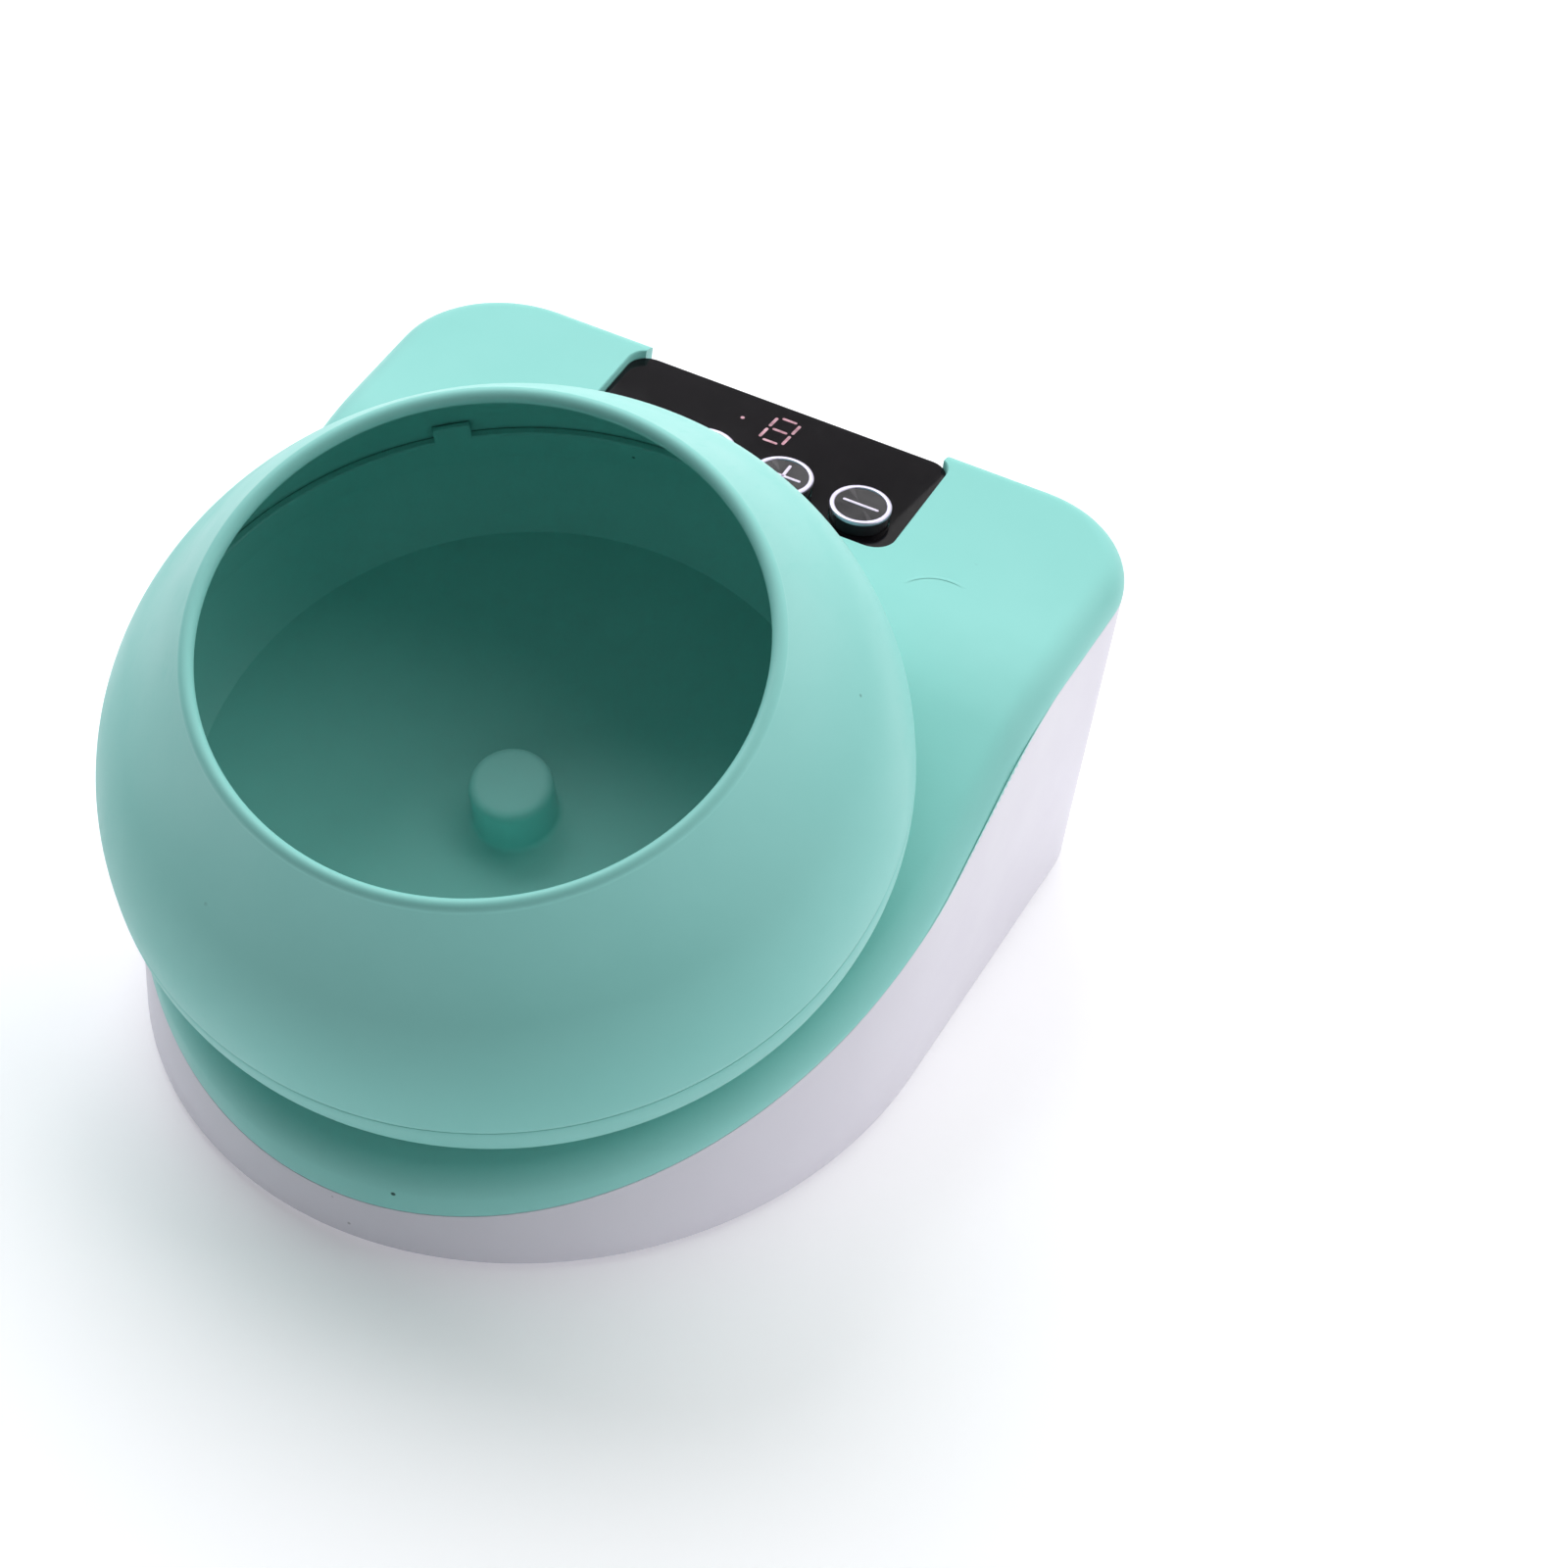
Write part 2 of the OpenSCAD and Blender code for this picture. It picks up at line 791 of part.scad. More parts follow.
module bearing_housing() {
    color(black)
        on_spindle()
            difference() {
                union() {
                    rod(housing_flange_r, plate_low - plate_t, plate_low);
                    rod(housing_r, housing_low, plate_low);
                }
                rod(bushing_r, housing_low - 1, plate_low + 1);
                for (a = [90 : 120 : 330])
                    rotate(a)
                        translate([plate_screw_r, 0, 0])
                            rod(1.25, plate_low - plate_t - 1, plate_low + 1);
            }
}

module housing_screws() {
    color(steel)
        on_spindle()
            for (a = [90 : 120 : 330])
                rotate(a)
                    translate([plate_screw_r, 0, plate_low - plate_t])
                        screw(1.2, 2.2, 1.4, 2 * plate_t - 0.2);
}

// Bushing with its flange at height z, sleeve reaching towards dir
module bushing(z, dir) {
    color(bronze)
        on_spindle()
            translate([0, 0, z])
                mirror([0, 0, dir > 0 ? 0 : 1])
                    difference() {
                        union() {
                            rod(bushing_r, 0, bushing_len);
                            rod(bushing_flange_r, -flange_thick, 0);
                        }
                        rod(spindle_r + running_gap, -flange_thick - 1, bushing_len + 1);
                    }
}

module motor_can() {
    color(steel)
        on_spindle()
            translate([0, centre_distance, 0])
                difference() {
                    union() {
                        rod(motor_r, motor_low + end_cap_len, plate_low);
                        rod(3, plate_low - eps, plate_low + 2);
                    }
                    rod(1.05, plate_low - 6, plate_top);
                    for (x = [-motor_screw_x, motor_screw_x])
                        translate([x, 0, 0])
                            rod(1.25, plate_low - 3, plate_low + 1);
                }
}

module motor_end_cap() {
    color(black)
        on_spindle()
            translate([0, centre_distance, 0]) {
                rod(motor_r - 0.5, motor_low, motor_low + end_cap_len);
                for (x = [-6, 6])
                    translate([x - 1, -0.25, motor_low - 2.5])
                        cube([2, 0.5, 3]);
            }
}

module motor_screws() {
    color(steel)
        on_spindle()
            for (x = [-motor_screw_x, motor_screw_x])
                translate([x, centre_distance, plate_top])
                    rotate([180, 0, 0])
                        screw(1.2, 2, 1.2, plate_t + 2.4);
}

module motor_shaft() {
    color(chrome)
        on_spindle()
            translate([0, centre_distance, 0])
                rod(1, plate_low - 5.5, gear_top + 0.8);
}

module pinion() {
    color(nylon)
        on_spindle()
            translate([0, centre_distance, 0])
                difference() {
                    translate([0, 0, gear_top - gear_t - 0.5])
                        linear_extrude(gear_t + 1)
                            rotate(180 + 180 / pinion_teeth)
                                polygon(gear_outline(pinion_teeth, gear_module, 1));
                    rod(1, plate_low, gear_top + 1);
                }
}

module spindle() {
    color(chrome)
        on_spindle()
            difference() {
                rod(spindle_r, housing_low - flange_thick - 2.5, -pan_depth + hex_len - 3);
                tube(spindle_r + 1, spindle_r - clip_groove, clip_low, clip_low + clip_t);
            }
}

module spindle_gear() {
    color(nylon)
        on_spindle()
            difference() {
                union() {
                    translate([0, 0, gear_top - gear_t])
                        linear_extrude(gear_t)
                            polygon(gear_outline(gear_teeth, gear_module, 0.25));
                    rod(bushing_flange_r, gear_top - gear_t - boss_drop, gear_top);
                }
                rod(spindle_r, gear_top - gear_t - boss_drop - 1, gear_top + 1);
                for (a = [30 : 60 : 330])
                    rotate(a)
                        translate([14.5, 0, 0])
                            rod(4, gear_top - gear_t - 1, gear_top + 1);
            }
}

module thrust_washer() {
    color([0.85, 0.3, 0.25])
        on_spindle()
            tube(bushing_flange_r - 0.5, spindle_r + 0.1, plate_top + flange_thick + 0.05,
                gear_top - gear_t - boss_drop);
}

module retaining_clip() {
    color([0.3, 0.3, 0.32])
        on_spindle()
            difference() {
                tube(spindle_r + 2.4, spindle_r - clip_groove, clip_low, clip_low + clip_t);
                translate([-1.4, 0, clip_low - 1])
                    cube([2.8, 10, 3]);
            }
}

// Disc that carries the bowl, with a hexagonal drive that fits inside the bowl's post
module drive_hub() {
    color(white)
        on_spindle()
            difference() {
                union() {
                    rod(hub_flange_r, hub_top - hub_flange_t, hub_top);
                    rod(hex_r, hub_top - eps, -pan_depth + hex_len, sides = 6);
                }
                rod(spindle_r, hub_top - hub_flange_t - 1, -pan_depth + hex_len - 3);
            }
}

// ---------- Bowl ----------

module bowl_pan() {
    corner = [bowl_r - pan_corner, pan_corner - pan_depth];
    floor_h = bowl_wall - pan_depth;
    lip_top = seam_h + lip_h;
    lip_in = pan_lip_r - lip_t;
    color(mint)
        on_spindle()
            difference() {
                union() {
                    rotate_extrude()
                        polygon(concat(
                            [[0, -pan_depth]],
                            arc(corner, pan_corner, -90, 0, 12),
                            [[bowl_r, seam_h], [pan_lip_r, seam_h], [pan_lip_r, lip_top], [lip_in, lip_top]],
                            bulge([lip_in, curve_top], [pan_floor_r, floor_h], pan_side_r, 12),
                            [[post_r, floor_h]],
                            arc([post_r - post_edge, -post_top - post_edge], post_edge, 0, 90, 6),
                            [[0, -post_top]]));
                    intersection() {
                        tube(pan_lip_r - 0.5, lip_in, lip_top - eps, lip_top + tab_h);
                        for (a = [5 : 120 : 245])
                            rotate(a)
                                translate([0, -tab_w / 2, 0])
                                    cube([far, tab_w, far]);
                    }
                }
                rod(hex_r + hex_gap, -pan_depth - 1, -pan_depth + hex_len + 0.5, sides = 6);
            }
}

// Outline of one side of the hood's wall, moved in by inset
module hood_outline(inset) {
    centre = [bowl_r - shoulder_r, shoulder_base];
    r = shoulder_r - inset;
    polygon(concat(
        [[0, seam_h + 0.05], [bowl_r - inset, seam_h + 0.05]],
        arc(centre, r, 0, shoulder_lean, 8),
        [[rim_r + rim_bead - inset, rim_h], [0, rim_h]]));
}

module bowl_hood() {
    color(mint)
        on_spindle()
            rotate_extrude() {
                difference() {
                    hood_outline(0);
                    hood_outline(bowl_wall);
                }
                translate([rim_r, rim_h])
                    circle(rim_bead, $fn = 32);
            }
}

// ---------- Power ----------

// Places a child on the rear wall's face, with +Z pointing square into the case
module on_rear_wall() {
    wall_top = deck_z - edge_r;
    rise = wall_top - foot_h;
    translate([0, rear_len - draft * (wall_top - inlet_z) / rise, inlet_z])
        rotate([90 - atan(draft / rise), 0, 0])
            children();
}

module power_inlet() {
    color(black)
        on_rear_wall()
            difference() {
                union() {
                    rod(inlet_r + 1.8, -1.4, 0);
                    rod(inlet_r - 0.1, -1.4, 12);
                }
                difference() {
                    rod(2.8, -2, 9);
                    rod(1.05, 0, 10);
                }
            }
}

module inlet_nut() {
    color(steel)
        on_rear_wall()
            difference() {
                rod(inlet_r + 1.9, wall + nut_gap, wall + 2.2, sides = 6);
                rod(inlet_r - 0.1, wall - 1, wall + 3);
            }
}

// Pair of wires from the motor's terminals to the board
module motor_lead() {
    for (side = [-1, 1])
        color(side < 0 ? [0.1, 0.1, 0.1] : [0.75, 0.1, 0.1])
            wire([[side * 6, 22, 9.5], [side * 4, 34, 10], [side * 2 - 10, 52, 16],
                [side * 1.6 - 15, 63, 34], [side * 1.2 - 16, 64.5, 60]], 0.7);
}

// Pair of wires from the inlet to the board
module power_lead() {
    for (side = [-1, 1])
        color(side < 0 ? [0.1, 0.1, 0.1] : [0.75, 0.1, 0.1])
            wire([[side * 2.4, 81.4, inlet_z], [side * 2 + 3, 76, 22], [side * 1.4 + 12, 70, 34],
                [side * 1.2 + 16, 65, 48], [side * 1.2 + 16, 64.5, 60]], 0.7);
}

placed() base_shell();
placed() top_cover();
placed() case_screws();
for (f = foot_spots, side = [["left", -1], ["right", 1]])
    placed() foot(side[1] * f[1], f[2]);
placed() panel_window();
placed() display_segments();
placed() indicator_lens();
for (k = [0 : 3]) {
    placed() button_cap(k);
    placed() button_ring(k);
    placed() button_sign(k);
    placed() plunger(k);
    placed() tact_switch(k);
}
placed() control_board();
placed() board_screws();
placed() display_module();
placed() indicator_led();
placed() driver_chip();
placed() connector(-16);  // motor_connector
placed() connector(16);  // power_connector
placed() drive_plate();
placed() plate_screws();
placed() bearing_housing();
placed() housing_screws();
placed() bushing(plate_top, -1);  // upper_bushing
placed() bushing(housing_low, 1);  // lower_bushing
placed() motor_can();
placed() motor_end_cap();
placed() motor_screws();
placed() motor_shaft();
placed() pinion();
placed() spindle();
placed() spindle_gear();
placed() thrust_washer();
placed() retaining_clip();
placed() drive_hub();
placed() bowl_pan();
placed() bowl_hood();
placed() power_inlet();
placed() inlet_nut();
placed() motor_lead();
placed() power_lead();
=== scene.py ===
"""Looks of the electric bead spinner, built round its CAD part.

Lengths are in metres, in the part's own frame: -Y is the front, +Z is up, and the origin is on
the table under the middle of the object. Heights called h are measured along the leaning
spindle from the middle of the bowl's widest circle.
"""
import bpy
import bmesh
import json
import math
from collections import namedtuple
from mathutils import Matrix, Vector


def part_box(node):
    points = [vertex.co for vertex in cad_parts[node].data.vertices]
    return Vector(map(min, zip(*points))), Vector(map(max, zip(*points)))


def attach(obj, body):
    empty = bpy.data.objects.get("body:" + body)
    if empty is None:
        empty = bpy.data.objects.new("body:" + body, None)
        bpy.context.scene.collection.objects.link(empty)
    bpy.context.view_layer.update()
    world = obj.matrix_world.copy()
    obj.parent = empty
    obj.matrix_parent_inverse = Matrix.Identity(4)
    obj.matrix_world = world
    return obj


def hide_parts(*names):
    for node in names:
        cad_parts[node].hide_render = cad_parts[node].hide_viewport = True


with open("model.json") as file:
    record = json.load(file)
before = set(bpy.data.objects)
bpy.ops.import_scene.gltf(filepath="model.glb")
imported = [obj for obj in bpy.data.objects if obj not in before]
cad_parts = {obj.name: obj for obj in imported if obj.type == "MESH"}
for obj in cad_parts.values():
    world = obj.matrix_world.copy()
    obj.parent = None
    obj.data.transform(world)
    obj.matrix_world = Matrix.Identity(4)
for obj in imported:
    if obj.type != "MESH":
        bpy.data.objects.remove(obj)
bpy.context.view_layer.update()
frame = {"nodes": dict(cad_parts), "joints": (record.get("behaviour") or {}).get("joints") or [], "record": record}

mm = 0.001
joints = {joint["name"]: joint for joint in frame["joints"]}
slots = {part["node"]: part["material_slot"] for part in frame["record"]["subparts"]}

# ---------- Sizes read from the frame ----------

cover_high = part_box("top_cover")[1]
base_low, base_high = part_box("base_shell")
window_low, window_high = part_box("panel_window")

half_w = 78 * mm
front_len = 94.3 * mm
rear_len = 96 * mm
corner_r = 24 * mm
draft = 2.6 * mm
edge_r = 6 * mm
wall = 2.6 * mm
bend_r = 65 * mm
deck_z = cover_high.z
foot_h = base_low.z
widest_y = base_high.y - rear_len
floor_t = 3 * mm

spindle_axis = Vector(joints["bowl_spin"]["axis"])
tilt = math.atan2(-spindle_axis.y, spindle_axis.z)
spindle_below = 45 * mm
bowl_centre = Vector(joints["bowl_spin"]["pos_m"]) + spindle_axis * spindle_below
bowl_place = Matrix.Translation(bowl_centre) @ Matrix.Rotation(tilt, 4, "X")
deck_h = -19.5 * mm
deck_zero = bowl_centre.z - (bowl_centre.y - widest_y) * math.tan(tilt) + deck_h / math.cos(tilt)

seam_slope = math.radians(23.7)
seam_front_z = 13 * mm
seam_rear_z = 68.3 * mm
seam_zero = seam_front_z + front_len * math.tan(seam_slope)

bowl_r = 74.6 * mm
bowl_wall = 2.4 * mm
pan_depth = 16.2 * mm
pan_corner = 18 * mm
pan_floor_r = 61.2 * mm
pan_side_r = 22.3 * mm
joint_h = 3.5 * mm
joint_gap = 0.05 * mm
curve_top = -1 * mm
lip_r = bowl_r - bowl_wall - 0.08 * mm
lip_t = 1.62 * mm
lip_h = 2.5 * mm
lip_edge = 0.3 * mm
tab_h = 4 * mm
tab_half_angle = 2.85
tab_turns = (5, 125, 245)
shoulder_r = 40 * mm
shoulder_h = 5 * mm
shoulder_lean = 38
rim_r = 52.4 * mm
rim_h = 46.5 * mm
rim_bead = 1.5 * mm
post_r = 7.9 * mm
post_top = 2.6 * mm
post_edge = 2 * mm
hex_r = 5.45 * mm
hex_top = -5.7 * mm

panel_corner = 4.5 * mm
window_z = window_high.z
panel_front = window_low.y
panel_rear = window_high.y
panel_half = window_high.x
notch_half = panel_half - 2 * mm
notch_round = 3 * mm
shelf_z = window_low.z
shelf_low = shelf_z - 1.6 * mm
ring_r = 6.17 * mm
ring_w = 1.05 * mm
ring_edge = 0.42 * mm
cap_r = ring_r - 0.35 * mm
stem_r = 2.2 * mm
foot_hole_r = 8 * mm
screw_hole_r = 3.1 * mm
inlet_r = 4 * mm
sign_w = 0.64 * mm
digit_slant = math.tan(math.radians(4))
digit_stroke = 0.65 * mm
button_names = ["power", "mode", "plus", "minus"]
soft = 0.35 * mm
nick = 0.1 * mm


# ---------- Mesh helpers ----------

def arc(centre, radius, start, end, steps):
    """Points [a, b] on an arc, angles in degrees."""
    angles = [math.radians(start + (end - start) * k / steps) for k in range(steps + 1)]
    return [(centre[0] + radius * math.cos(a), centre[1] + radius * math.sin(a)) for a in angles]


def bulge(start, end, radius, steps):
    """Points on an arc of a given radius that bulges outward between two points of a profile."""
    start = Vector(start)
    end = Vector(end)
    chord = end - start
    reach = math.sqrt(radius ** 2 - chord.length_squared / 4)
    centre = (start + end) / 2 + Vector((chord.y, -chord.x)).normalized() * reach
    first = math.degrees(math.atan2(start.y - centre.y, start.x - centre.x))
    last = math.degrees(math.atan2(end.y - centre.y, end.x - centre.x))
    return arc(centre, radius, first, last, steps)


def make_object(name, verts, faces):
    """A mesh object with outward normals."""
    mesh = bpy.data.meshes.new(name)
    built = bmesh.new()
    points = [built.verts.new(v) for v in verts]
    for face in faces:
        corners = [points[k] for k in dict.fromkeys(face)]
        built.faces.new(corners)
    bmesh.ops.remove_doubles(built, verts=built.verts, dist=1e-7)
    bmesh.ops.recalc_face_normals(built, faces=built.faces)
    if built.calc_volume(signed=True) < 0:
        bmesh.ops.reverse_faces(built, faces=built.faces)
    built.to_mesh(mesh)
    built.free()
    made = bpy.data.objects.new(name, mesh)
    bpy.context.scene.collection.objects.link(made)
    return made


def skin(name, rows, first_cap, last_cap):
    """Joins closed rows of points into a surface; the caps are faces over the two end rows."""
    count = len(rows[0])
    verts = [p for row in rows for p in row]
    faces = []
    for r in range(len(rows) - 1):
        for k in range(count):
            after = (k + 1) % count
            faces.append([r * count + k, r * count + after, (r + 1) * count + after, (r + 1) * count + k])
    last = (len(rows) - 1) * count
    faces += [list(cap) for cap in first_cap]
    faces += [[last + k for k in cap] for cap in last_cap]
    return make_object(name, verts, faces)


def lid(count):
    """One face over a whole row."""
    return [list(range(count))]


def revolve(name, profile, segments=192, place=Matrix.Identity(4)):
    """Turns a closed line of points (radius, height) round the Z axis, then places it."""
    turns = [2 * math.pi * k / segments for k in range(segments)]
    rows = [[place @ Vector((r * math.cos(t), r * math.sin(t), h)) for t in turns] for r, h in profile]
    ends_on_axis = profile[0][0] < 1e-9
    if not ends_on_axis:
        rows.append(rows[0])
    return skin(name, rows, [], [])


def plate(name, outline, low, high, rounding=0.0, steps=4):
    """A flat plate of the given outline; its top edge is rounded by moving the outline in."""
    def moved_in(amount):
        points = [Vector(p) for p in outline]
        normals = [outward(points[k - 1], points[(k + 1) % len(points)]) for k in range(len(points))]
        return [p - n * amount for p, n in zip(points, normals)]

    rows = [[(p.x, p.y, low) for p in moved_in(0)]]
    if not rounding:
        rows.append([(p.x, p.y, high) for p in moved_in(0)])
        return skin(name, rows, lid(len(outline)), lid(len(outline)))
    for k in range(steps + 1):
        turn = math.pi / 2 * k / steps
        inset = rounding * (1 - math.cos(turn))
        rows.append([(p.x, p.y, high - rounding + rounding * math.sin(turn)) for p in moved_in(inset)])
    return skin(name, rows, lid(len(outline)), lid(len(outline)))


def outward(before, after):
    """Outward direction at a point of an anticlockwise outline, from its two neighbours."""
    along = (after - before).normalized()
    return Vector((along.y, -along.x))


def rounded_outline(half, front, rear, radius, steps=10):
    """Anticlockwise outline of a rounded rectangle, from corner to corner."""
    points = []
    points += arc((half - radius, front + radius), radius, -90, 0, steps)
    points += arc((half - radius, rear - radius), radius, 0, 90, steps)
    points += arc((radius - half, rear - radius), radius, 90, 180, steps)
    points += arc((radius - half, front + radius), radius, 180, 270, steps)
    return points


def disc_outline(centre, radius, sides=48, turn=0.0):
    step = 360 / sides
    return arc(centre, radius, turn, turn + 360 - step, sides - 1)


def ribbon(points, width):
    """Anticlockwise outline of a stroke of constant width with round ends."""
    points = [Vector(p) for p in points]
    half = width / 2
    sides = []
    for k, p in enumerate(points):
        before = points[max(k - 1, 0)]
        after = points[min(k + 1, len(points) - 1)]
        sides.append(outward(before, after) * half)
    right = [p + s for p, s in zip(points, sides)]
    left = [p - s for p, s in zip(points, sides)]
    end_angle = math.degrees(math.atan2(sides[-1].y, sides[-1].x))
    start_angle = math.degrees(math.atan2(-sides[0].y, -sides[0].x))
    end = arc(points[-1], half, end_angle, end_angle + 180, 8)[1:-1]
    start = arc(points[0], half, start_angle, start_angle + 180, 8)[1:-1]
    return [tuple(p) for p in right] + end + [tuple(p) for p in reversed(left)] + start


def join(parts, name):
    """Puts several objects' meshes into one object."""
    built = bmesh.new()
    for part in parts:
        built.from_mesh(part.data)
        bpy.data.objects.remove(part)
    mesh = bpy.data.meshes.new(name)
    built.to_mesh(mesh)
    built.free()
    made = bpy.data.objects.new(name, mesh)
    bpy.context.scene.collection.objects.link(made)
    return made


def combine(target, tool, operation):
    """Adds a tool to the target's solid or cuts it away, and removes the tool."""
    change = target.modifiers.new(operation, "BOOLEAN")
    change.operation = operation
    change.solver = "MANIFOLD"
    change.object = tool
    seen = bpy.context.evaluated_depsgraph_get()
    result = bpy.data.meshes.new_from_object(target.evaluated_get(seen))
    target.modifiers.clear()
    target.data = result
    bpy.data.objects.remove(tool)


def finish_piece(piece, body, material, sharp=32):
    """Shades a piece, gives it its material and lets it move with a CAD body."""
    piece.data.materials.clear()
    piece.data.materials.append(material)
    for face in piece.data.polygons:
        face.use_smooth = True
        face.material_index = 0
    piece.data.set_sharp_from_angle(angle=math.radians(sharp))
    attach(piece, body)
    return piece


# ---------- Shape of the case ----------

def side_profile(y, slope, zero, level, radius):
    """Height at y of a line that rises at a slope and then bends level."""
    reach = y - widest_y
    level_from = (level - zero) / math.tan(slope) + radius * math.tan(slope / 2)
    bend_from = level_from - radius * math.sin(slope)
    if reach > level_from:
        return level
    if reach > bend_from:
        return level - radius + math.sqrt(radius ** 2 - (level_from - reach) ** 2)
    return zero + reach * math.tan(slope)


def deck_top(y, inset=0.0):
    return side_profile(y, tilt, deck_zero - inset / math.cos(tilt), deck_z - inset, bend_r - inset)


def seam_z(y):
    return side_profile(y, seam_slope, seam_zero, seam_rear_z, bend_r)


def deck_normal(y):
    step = 0.05 * mm
    rise = (deck_top(y + step) - deck_top(y - step)) / (2 * step)
    return Vector((0, -rise, 1)).normalized()


Station = namedtuple("Station", "path normal foot")


def right_stations():
    """Places along the right half of the case, from the front end to the rear wall.

    path is the middle of the rounded deck edge, foot is where the wall meets the bottom.
    """
    stations = []
    for angle in range(-90, 0, 2):
        c = math.cos(math.radians(angle))
        s = math.sin(math.radians(angle))
        a = half_w - edge_r
        b = front_len - edge_r
        normal = Vector((c / a, s / b)).normalized()
        stations.append(Station(Vector((a * c, widest_y + b * s)), normal,
                                Vector(((half_w - draft) * c, widest_y + (front_len - draft) * s))))
    straight = rear_len - corner_r
    steps = 48
    for k in range(steps):
        y = widest_y + straight * k / steps
        stations.append(Station(Vector((half_w - edge_r, y)), Vector((1, 0)), Vector((half_w - draft, y))))
    middle = Vector((half_w - corner_r, widest_y + straight))
    for angle in range(0, 95, 5):
        out = Vector((math.cos(math.radians(angle)), math.sin(math.radians(angle))))
        stations.append(Station(middle + out * (corner_r - edge_r), out, middle + out * (corner_r - draft)))
    return stations


stations = right_stations()


def whole_row(point_at):
    """A closed row round the case, from a function that gives the point at a right-hand station."""
    right = [point_at(station) for station in stations]
    left = [Vector((-p.x, p.y, p.z)) for p in reversed(right[1:])]
    return right + left


def cross_strips():
    """Faces straight across a row, from each right-hand station to its mirror image."""
    count = 2 * len(stations) - 1
    strips = []
    for k in range(len(stations) - 1):
        strips.append([k, k + 1, count - k - 1, (count - k) % count])
    return strips


def wall_point(station, z, inset):
    """A point on the side wall at a height, moved in by inset."""
    top = station.path + station.normal * edge_r
    top_z = deck_top(station.path.y, edge_r)
    share = (z - foot_h) / (top_z - foot_h)
    place = station.foot.lerp(top, share) - station.normal * inset
    return Vector((place.x, place.y, z))


def seam_point(station, rise, inset):
    wall_y = (station.path + station.normal * edge_r).y
    return wall_point(station, seam_z(wall_y) + rise, inset)


def edge_point(station, lean, inset):
    """A point on the rounded deck edge; lean goes from 0 at the wall to 1 at the deck."""
    sideways = Vector((station.normal.x, station.normal.y, 0))
    direction = sideways.slerp(deck_normal(station.path.y), lean)
    middle = Vector((station.path.x, station.path.y, deck_top(station.path.y, edge_r)))
    return middle + direction * (edge_r - inset)


def panel_cutter(name):
    """Everything above the window's shelf, inside the panel's outline, flaring a little at the deck."""
    gap = nick
    levels = [(shelf_z, gap), (deck_z - soft, gap), (deck_z - 0.15 * mm, 2 * gap),
              (deck_z, soft), (deck_z + 4 * mm, soft + 4 * mm)]
    rows = []
    for z, grow in levels:
        outline = rounded_outline(panel_half + grow, panel_front - grow, panel_rear + grow,
                                  panel_corner + grow)
        rows.append([(x, y, z) for x, y in outline])
    return skin(name, rows, lid(len(rows[0])), lid(len(rows[0])))


def notch_cutter(name):
    """The gap behind the panel, open to the rear, with rounded outer corners."""
    wide = notch_half + notch_round
    rear = base_high.y
    right = arc((wide, rear - notch_round), notch_round, 180, 90, 10)
    left = arc((-wide, rear - notch_round), notch_round, 90, 0, 10)
    beyond = rear + 5 * mm
    outline = [(-notch_half, panel_rear - mm), (notch_half, panel_rear - mm)] + right
    outline += [(wide, beyond), (-wide, beyond)] + left
    return plate(name, outline, seam_rear_z - 0.5 * mm, deck_z + 5 * mm)


def notch_block(low, high):
    """The solid behind the panel that the notch is cut from."""
    outline = rounded_outline(notch_half + wall, panel_rear - wall, base_high.y - wall / 2, mm, 2)
    return plate("block", outline, low, high)


def make_cover():
    rows = [whole_row(lambda s, t=k / 6: edge_point(s, 1 - t, wall)) for k in range(7)]
    rows.append(whole_row(lambda s: seam_point(s, 0, wall)))
    rows.append(whole_row(lambda s: seam_point(s, 0, soft)))
    rows.append(whole_row(lambda s: seam_point(s, nick, nick)))
    rows.append(whole_row(lambda s: seam_point(s, soft, 0)))
    rows += [whole_row(lambda s, t=k / 12: edge_point(s, t, 0)) for k in range(13)]
    cover = skin("cover_skin", rows, cross_strips(), cross_strips())
    shelf = plate("shelf", rounded_outline(panel_half + wall, panel_front - wall, panel_rear, panel_corner),
                  shelf_low, deck_z - wall / 2)
    combine(cover, shelf, "UNION")
    combine(cover, notch_block(seam_rear_z, deck_z - edge_r), "UNION")
    combine(cover, panel_cutter("panel_cutter"), "DIFFERENCE")
    combine(cover, notch_cutter("notch_cutter"), "DIFFERENCE")
    combine(cover, join(cover_holes(), "holes"), "DIFFERENCE")
    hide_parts("top_cover")
    return finish_piece(cover, "case", materials["mint"])


def cover_holes():
    """Holes for the buttons' stems, the digit and the spindle."""
    low = shelf_low - mm
    holes = [plate("hole", disc_outline(middle_of(name + "_ring"), stem_r + 0.4 * mm), low, deck_z)
             for name in button_names]
    digit_hole = rounded_outline_at(middle_of("display_module"), 6.6 * mm, 5.6 * mm)
    holes.append(plate("hole", digit_hole, low, deck_z))
    hole_r = 4 * mm
    foot = deck_h - 6 * mm
    top = deck_h + mm
    spindle_hole = [(0, foot), (hole_r, foot), (hole_r, top), (0, top)]
    holes.append(revolve("hole", spindle_hole, 64, bowl_place))
    return holes


def rounded_outline_at(centre, half_x, half_y):
    return [(centre[0] + x, y) for x, y in
            rounded_outline(half_x, centre[1] - half_y, centre[1] + half_y, mm, 3)]


def middle_of(node):
    """Middle of a CAD piece, seen from above."""
    low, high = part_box(node)
    return ((low.x + high.x) / 2, (low.y + high.y) / 2)


